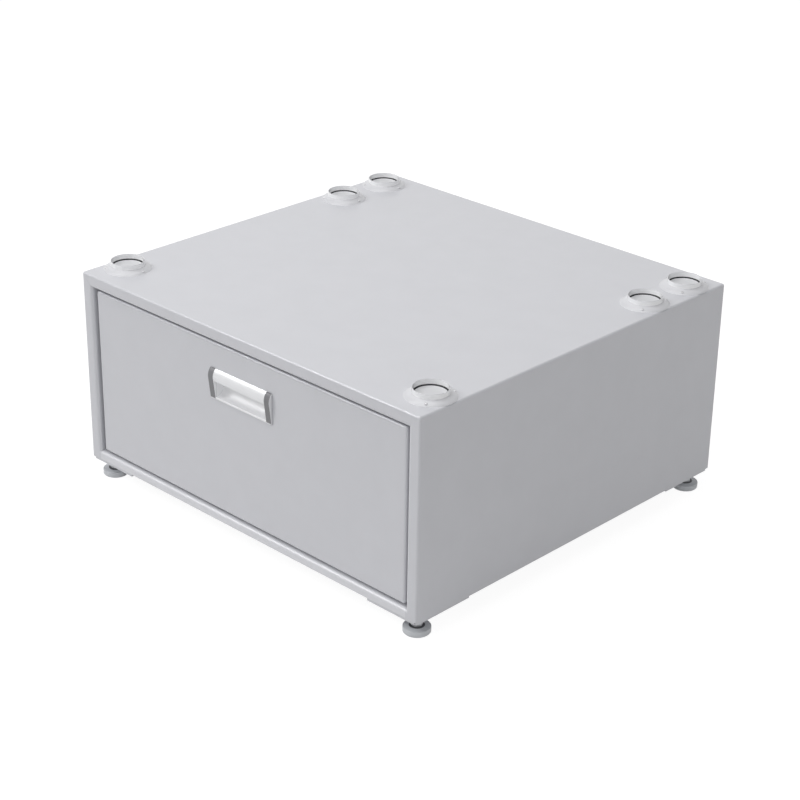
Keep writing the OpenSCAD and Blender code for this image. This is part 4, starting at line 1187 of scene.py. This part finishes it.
class PEDESTAL_OT_slides(bpy.types.Operator):
    """Outer, middle and inner members of the two slides, rolled from sheet"""
    bl_idname = "pedestal.slides"
    bl_label = "Slide members"

    def execute(self, context):
        finish = finishes(context).zinc
        bend = [MEMBER_BEND, MEMBER_BEND]
        low, high = local_box("slide_outer_right")
        wall, tip = high[0], low[0]
        outer = folded([(tip, high[2] - TURNED_LIP), (tip, high[2]), (wall, high[2]), (wall, low[2]),
                        (tip, low[2]), (tip, low[2] + TURNED_LIP)], -OUTER_SHEET,
                       [LIP_BEND, *bend, LIP_BEND])
        members = {"outer": ("cabinet", extrude(outer, 1, low[1], high[1]))}
        low, high = local_box("slide_middle_right")
        middle = folded([(low[0], high[2]), (high[0], high[2]), (high[0], low[2]), (low[0], low[2])],
                        -INNER_SHEET, bend)
        members["middle"] = ("middle_member_{}", extrude(middle, 1, low[1], high[1]))
        low, high = local_box("slide_inner_right")
        inner = folded([(high[0], high[2]), (low[0], high[2]), (low[0], low[2]), (high[0], low[2])],
                       INNER_SHEET, bend)
        members["inner"] = ("drawer", extrude(inner, 1, low[1], high[1]))
        for name, (body, right) in members.items():
            for side, sign in SIDES:
                piece(f"slide_{name}_member_{side}", [right if sign > 0 else mirrored(right)], finish,
                      body.format(side), [f"slide_{name}_{side}"])
        return {"FINISHED"}


class PEDESTAL_OT_supports(bpy.types.Operator):
    """Hat sections that carry the slides on the side walls"""
    bl_idname = "pedestal.supports"
    bl_label = "Slide supports"

    def execute(self, context):
        finish = finishes(context).panel
        low, high = local_box("slide_support_right")
        edge = high[0] - SUPPORT_SHEET
        foot_low, foot_high = low[2] + SUPPORT_FOOT, high[2] - SUPPORT_FOOT
        hat = folded([(edge, low[2]), (edge, foot_low), (low[0], foot_low), (low[0], foot_high),
                      (edge, foot_high), (edge, high[2])], -SUPPORT_SHEET, [SUPPORT_BEND] * 4)
        right = extrude(hat, 1, low[1], high[1])
        piece("slide_rest_right", [right], finish, "cabinet", ["slide_support_right"])
        piece("slide_rest_left", [mirrored(right)], finish, "cabinet", ["slide_support_left"])
        return {"FINISHED"}


# ---- Screws ----

# Radii of the rings over a head, as shares of its radius
HEAD_RINGS = (0.0, 0.12, 0.24, 0.36, 0.46, 0.54, 0.6, 0.66, 0.78, 0.9, 0.97, 1.0, 1.0)
# Shares of a head's height: what its dome loses towards the edge, and the depth of its recess
DOME_FALL, RECESS = 0.45, 0.6
# The recess: half the width of a slot in millimetres, its reach as a share of the head's radius, and
# the widths over which its side and end walls slope
SLOT_HALF, SLOT_REACH, SIDE_SLOPE, END_SLOPE = 0.5, 0.58, 0.25, 0.35
# A shank starts this far inside the head, and tapers over the length of its tip to this share
SHANK_LAP, TIP, TIP_SHARE = 0.1, 0.5, 0.75
BACKWARDS = (0, 1, 0)
# Distance of a slide's first and last screws from its ends, in millimetres
SLIDE_SCREW_IN = 45


def seat_axes(normal):
    """The normal as an array, and two directions across it."""
    n = np.asarray(normal, float)
    side = np.cross(n, (0.0, 0.0, 1.0))
    return n, side, np.cross(side, n)


def head_surface(centre, normal, radius, height):
    """A pan head with a cross recess, as heights over a disc: a dome that falls as the fourth power of
    the radius, less two crossed slots with sloping walls. The last ring closes it on the seat."""
    share = np.array(HEAD_RINGS)[:, None]
    a = np.linspace(0, 2 * math.pi, 48, endpoint=False)[None, :]
    x, y = share * radius * np.cos(a), share * radius * np.sin(a)
    dome = height * (1 - DOME_FALL * share ** 4) + 0 * a

    def arm(along, across):
        wide = np.clip((SLOT_HALF - np.abs(across)) / SIDE_SLOPE + 0.5, 0, 1)
        return wide * np.clip((SLOT_REACH * radius - np.abs(along)) / END_SLOPE + 0.5, 0, 1)

    h = dome - RECESS * height * np.maximum(arm(x, y), arm(y, x))
    h[-1] = 0.0
    n, side, up = seat_axes(normal)
    points = np.asarray(centre, float) + x[..., None] * side + y[..., None] * up + h[..., None] * n
    return grid(points, wrap_v=True, caps=True)


def shank_surface(centre, normal, radius, depth):
    """A plain shank: a circle carried from inside the head against the normal, to a tapered tip."""
    n, side, up = seat_axes(normal)
    a = np.linspace(0, 2 * math.pi, 24, endpoint=False)[:, None]
    ring = radius * (np.cos(a) * side + np.sin(a) * up)
    middle = np.asarray(centre, float)
    return grid([middle + ring + SHANK_LAP * n, middle + ring - (depth - TIP) * n,
                 middle + ring * TIP_SHARE - depth * n], wrap_v=True, caps=True)


def driven(name, places, head_r, head_h, shank_r, depth, finish, body, node):
    """Like screws at the given places with their heads to the rear, as one piece."""
    surfaces = [head_surface(p, BACKWARDS, head_r, head_h) for p in places]
    surfaces += [shank_surface(p, BACKWARDS, shank_r, depth) for p in places]
    piece(name, surfaces, finish, body, [node])


def back_panel_screws(finish, s):
    """Three screws along the panel's top and bottom, and two up each side."""
    head_h = local_box("back_panel_screws")[1][1] - s.depth
    row_x, side_x = s.width / 3, s.width / 2 - s.rear_flange / 2
    low_z, top_z = s.rear_rail + s.upstand / 2, s.height - s.rear_flange / 2
    places = [(x, s.depth, z) for x in (-row_x, 0.0, row_x) for z in (low_z, top_z)]
    places += [(x, s.depth, s.height * share) for x in (-side_x, side_x) for share in (0.36, 0.72)]
    driven("back_screw_heads", places, 4.0, head_h, 1.9, 8.0, finish, "cabinet", "back_panel_screws")


def liner_screws(finish, s):
    """Three screws up each of the flanges that hold the tray's sides to the drawer front."""
    low, high = local_box("drawer_front_screws")
    side_low, side_high = local_box("drawer_side_right")
    seat_y = side_low[1] + s.sheet
    x = side_high[0] - s.sheet - s.front_flange / 2
    places = [(across * x, seat_y, side_low[2] + (side_high[2] - side_low[2]) * share)
              for across in (-1, 1) for share in (0.2, 0.5, 0.8)]
    driven("liner_screw_heads", places, 3.8, high[1] - seat_y, 2.0, seat_y - low[1], finish, "drawer",
           "drawer_front_screws")


def handle_screws(finish):
    """One screw in the post of each end cap."""
    low, high = local_box("handle_screws")
    head_r, head_h = 3.6, 1.8
    seat_y = high[1] - head_h
    x, z = high[0] - head_r, (low[2] + high[2]) / 2
    driven("handle_screw_heads", [(-x, seat_y, z), (x, seat_y, z)], head_r, head_h, 1.9,
           seat_y - low[1], finish, "drawer", "handle_screws")


def tray_screws(finish, s):
    """Three screws through each side of the tray into its slide, with their heads inside the tray."""
    low, high = local_box("slide_inner_right")
    seat_x, z = local_box("drawer_side_right")[1][0] - s.sheet, (low[2] + high[2]) / 2
    surfaces = []
    for sign in (-1, 1):
        for y in (low[1] + SLIDE_SCREW_IN, (low[1] + high[1]) / 2, high[1] - SLIDE_SCREW_IN):
            seat, inwards = (sign * seat_x, y, z), (-sign, 0, 0)
            surfaces += [head_surface(seat, inwards, 3.8, 2.0), shank_surface(seat, inwards, 2.0, 2.0)]
    piece("tray_screw_heads", surfaces, finish, "drawer", ["drawer_side_screws"])


class PEDESTAL_OT_screws(bpy.types.Operator):
    """Screws with cross recesses on the back panel, tray, liner and handle"""
    bl_idname = "pedestal.screws"
    bl_label = "Screws"

    def execute(self, context):
        finish = finishes(context).zinc
        drawer = in_mm(context.scene.pedestal_drawer)
        back_panel_screws(finish, in_mm(context.scene.pedestal_cabinet))
        liner_screws(finish, drawer)
        handle_screws(finish)
        tray_screws(finish, drawer)
        return {"FINISHED"}


# ---- Frame nodes that are shown as they are ----

class PEDESTAL_OT_frame_finishes(bpy.types.Operator):
    """Finishes of the frame's own pieces: brackets, nuts, back panel, liner, cages, screws and stops"""
    bl_idname = "pedestal.frame_finishes"
    bl_label = "Frame finishes"

    def execute(self, context):
        f = finishes(context)
        kept = {"foot_weld_nuts": f.zinc, "back_panel": f.inner, "drawer_front_liner": f.face,
                "slide_screws": f.zinc, "slide_stops": f.bumper}
        kept.update({f"foot_bracket_{place}": f.panel for place in FEET})
        kept.update({f"ball_cage_{row}_{side}": f.zinc for row in ("outer", "inner")
                     for side, _ in SIDES})
        for name, finish in kept.items():
            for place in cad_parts[name].material_slots:
                place.material = finish
        return {"FINISHED"}


# ---- Stage ----

# Each lamp's name, the property with its power, its size, place and target in the frame's metres
LAMPS = (
    ("Top lamp", "top_lamp", 2.2, (-0.3, -0.5, 2.3), (0.0, 0.0, 0.25)),
    ("Front lamp", "front_lamp", 2.1, (-4.76, -4.25, 4.7), (0.0, -0.15, 0.14)),
    ("Side lamp", "side_lamp", 3.0, (2.9, -2.5, 1.65), (0.0, -0.1, 0.14)))
# The floor's half width in metres, its grey under the glow, and its grey for all other rays
FLOOR_REACH, FLOOR_SHADE, FLOOR_PLAIN = 30.0, 0.2, 0.8
WHITE = (1, 1, 1, 1)
# The camera: azimuth, elevation and roll in degrees, place in metres, sensor and lens in millimetres
CAMERA_ANGLES = (43.8434, 25.3619, 0.8748)
CAMERA_PLACE = (1.62853, -1.69733, 1.23257)
SENSOR, LENS, CLIP_END = 36.0, 88.92, 200.0


def grey(level):
    """A grey as a colour with alpha."""
    return (level, level, level, 1)


def soft_lamp(name, watts, size, place, target):
    """A square area lamp at a place, turned to the target."""
    data = bpy.data.lights.new(name, "AREA")
    data.energy, data.size = watts, size
    lamp = bpy.data.objects.new(name, data)
    bpy.context.scene.collection.objects.link(lamp)
    aim = (Vector(target) - Vector(place)).to_track_quat("-Z", "Y")
    lamp.matrix_world = Matrix.Translation(place) @ aim.to_matrix().to_4x4()


def seen_by_camera(graph):
    """1 for camera, glossy and transmission rays, else 0."""
    path = graph.add("ShaderNodeLightPath").outputs
    first = graph.value("MAXIMUM", path["Is Camera Ray"], path["Is Glossy Ray"])
    return graph.value("MAXIMUM", first, path["Is Transmission Ray"])

class PEDESTAL_OT_stage(bpy.types.Operator):
    """White floor that keeps a faint shadow, soft lamps, even sky and the camera"""
    bl_idname = "pedestal.stage"
    bl_label = "Stage"

    def execute(self, context):
        s = context.scene.pedestal_stage
        scene = context.scene
        self.floor(s)
        self.sky(scene, s)
        for name, setting, size, place, target in LAMPS:
            soft_lamp(name, getattr(s, setting), size, place, target)
        self.camera(scene)
        scene.view_settings.view_transform = "Standard"
        return {"FINISHED"}

    def floor(self, s):
        """A wide plane at floor height. The camera sees its glow and a little of its shading."""
        u = np.linspace(-FLOOR_REACH, FLOOR_REACH, 3)
        x, y = np.meshgrid(u, u, indexing="ij")
        points = np.stack([x, y, np.full_like(x, CAD_BOX[0][2])], axis=2)
        mesh = bpy.data.meshes.new("Floor")
        mesh.from_pydata(points.reshape(-1, 3).tolist(), [], faces_of(grid(points), 0))
        made = bpy.data.objects.new("Floor", mesh)
        bpy.context.scene.collection.objects.link(made)
        finish = bpy.data.materials.new("Studio floor")
        finish.use_nodes = True
        finish.node_tree.nodes.clear()
        graph = Graph(finish.node_tree)
        glow = graph.add("ShaderNodeEmission", {"Color": WHITE, "Strength": s.floor_glow})
        shade = graph.add("ShaderNodeBsdfDiffuse", {"Color": grey(FLOOR_SHADE)})
        shown = graph.add("ShaderNodeAddShader", {0: glow.outputs[0], 1: shade.outputs[0]})
        plain = graph.add("ShaderNodeBsdfDiffuse", {"Color": grey(FLOOR_PLAIN)})
        mix = graph.add("ShaderNodeMixShader", {0: seen_by_camera(graph), 1: plain.outputs[0],
                                                2: shown.outputs[0]})
        graph.add("ShaderNodeOutputMaterial", {"Surface": mix.outputs[0]})
        mesh.materials.append(finish)

    def sky(self, scene, s):
        """Even light from all round, shown white to the camera and in reflections."""
        world = bpy.data.worlds.new("Studio sky")
        world.use_nodes = True
        world.node_tree.nodes.clear()
        graph = Graph(world.node_tree)
        strength = graph.add("ShaderNodeMapRange", {"Value": seen_by_camera(graph), "To Min": s.sky,
                                                    "To Max": 1.0}).outputs[0]
        light = graph.add("ShaderNodeBackground", {"Color": WHITE, "Strength": strength})
        graph.add("ShaderNodeOutputWorld", {"Surface": light.outputs[0]})
        scene.world = world

    def camera(self, scene):
        """Camera at the photograph's angle: azimuth and elevation give its back axis, and a small roll
        turns the other two."""
        azimuth, elevation, roll = (math.radians(angle) for angle in CAMERA_ANGLES)
        flat = math.cos(elevation)
        back = Vector((math.sin(azimuth) * flat, -math.cos(azimuth) * flat, math.sin(elevation)))
        level = Vector((math.cos(azimuth), math.sin(azimuth), 0.0))
        up = back.cross(level)
        right = level * math.cos(roll) + up * math.sin(roll)
        over = up * math.cos(roll) - level * math.sin(roll)
        data = bpy.data.cameras.new("Camera")
        data.sensor_width, data.lens, data.clip_end = SENSOR, LENS, CLIP_END
        camera = bpy.data.objects.new("Camera", data)
        scene.collection.objects.link(camera)
        turn = Matrix((right, over, back)).transposed()
        camera.matrix_world = Matrix.Translation(CAMERA_PLACE) @ turn.to_4x4()
        scene.camera = camera


# ---- Panel and registration ----

OPERATORS = (
    PEDESTAL_OT_cabinet_wrap, PEDESTAL_OT_rails, PEDESTAL_OT_cups, PEDESTAL_OT_rivets,
    PEDESTAL_OT_drawer_panel, PEDESTAL_OT_handle, PEDESTAL_OT_handle_ends, PEDESTAL_OT_feet,
    PEDESTAL_OT_foot_screws, PEDESTAL_OT_tray, PEDESTAL_OT_slides, PEDESTAL_OT_supports,
    PEDESTAL_OT_screws, PEDESTAL_OT_frame_finishes, PEDESTAL_OT_stage)
GROUPS = {
    "pedestal_cabinet": PedestalCabinet, "pedestal_cup": PedestalCup, "pedestal_drawer": PedestalDrawer,
    "pedestal_handle": PedestalHandle, "pedestal_foot": PedestalFoot, "pedestal_finish": PedestalFinish,
    "pedestal_stage": PedestalStage}


class PEDESTAL_PT_pieces(bpy.types.Panel):
    """Lists the pedestal's sizes and the buttons that build its pieces"""
    bl_idname = "PEDESTAL_PT_pieces"
    bl_label = "Washer pedestal"
    bl_space_type = "VIEW_3D"
    bl_region_type = "UI"
    bl_category = "Pedestal"

    def draw(self, context):
        for name, kind in GROUPS.items():
            box = self.layout.box()
            box.label(text=kind.__doc__)
            for key in kind.__annotations__:
                box.prop(getattr(context.scene, name), key)
        for kind in OPERATORS:
            self.layout.operator(kind.bl_idname)


CLASSES = (*GROUPS.values(), *OPERATORS, PEDESTAL_PT_pieces)


def register():
    """Registers the classes and hangs the groups of sizes and colours on the scene."""
    for kind in CLASSES:
        bpy.utils.register_class(kind)
    for name, kind in GROUPS.items():
        setattr(bpy.types.Scene, name, PointerProperty(type=kind))


def unregister():
    """Takes back what register() does, in the opposite order."""
    for name in reversed(GROUPS):
        delattr(bpy.types.Scene, name)
    for kind in reversed(CLASSES):
        bpy.utils.unregister_class(kind)


def main():
    register()
    for kind in OPERATORS:
        group, name = kind.bl_idname.split(".")
        getattr(getattr(bpy.ops, group), name)()


if __name__ == "__main__":
    main()
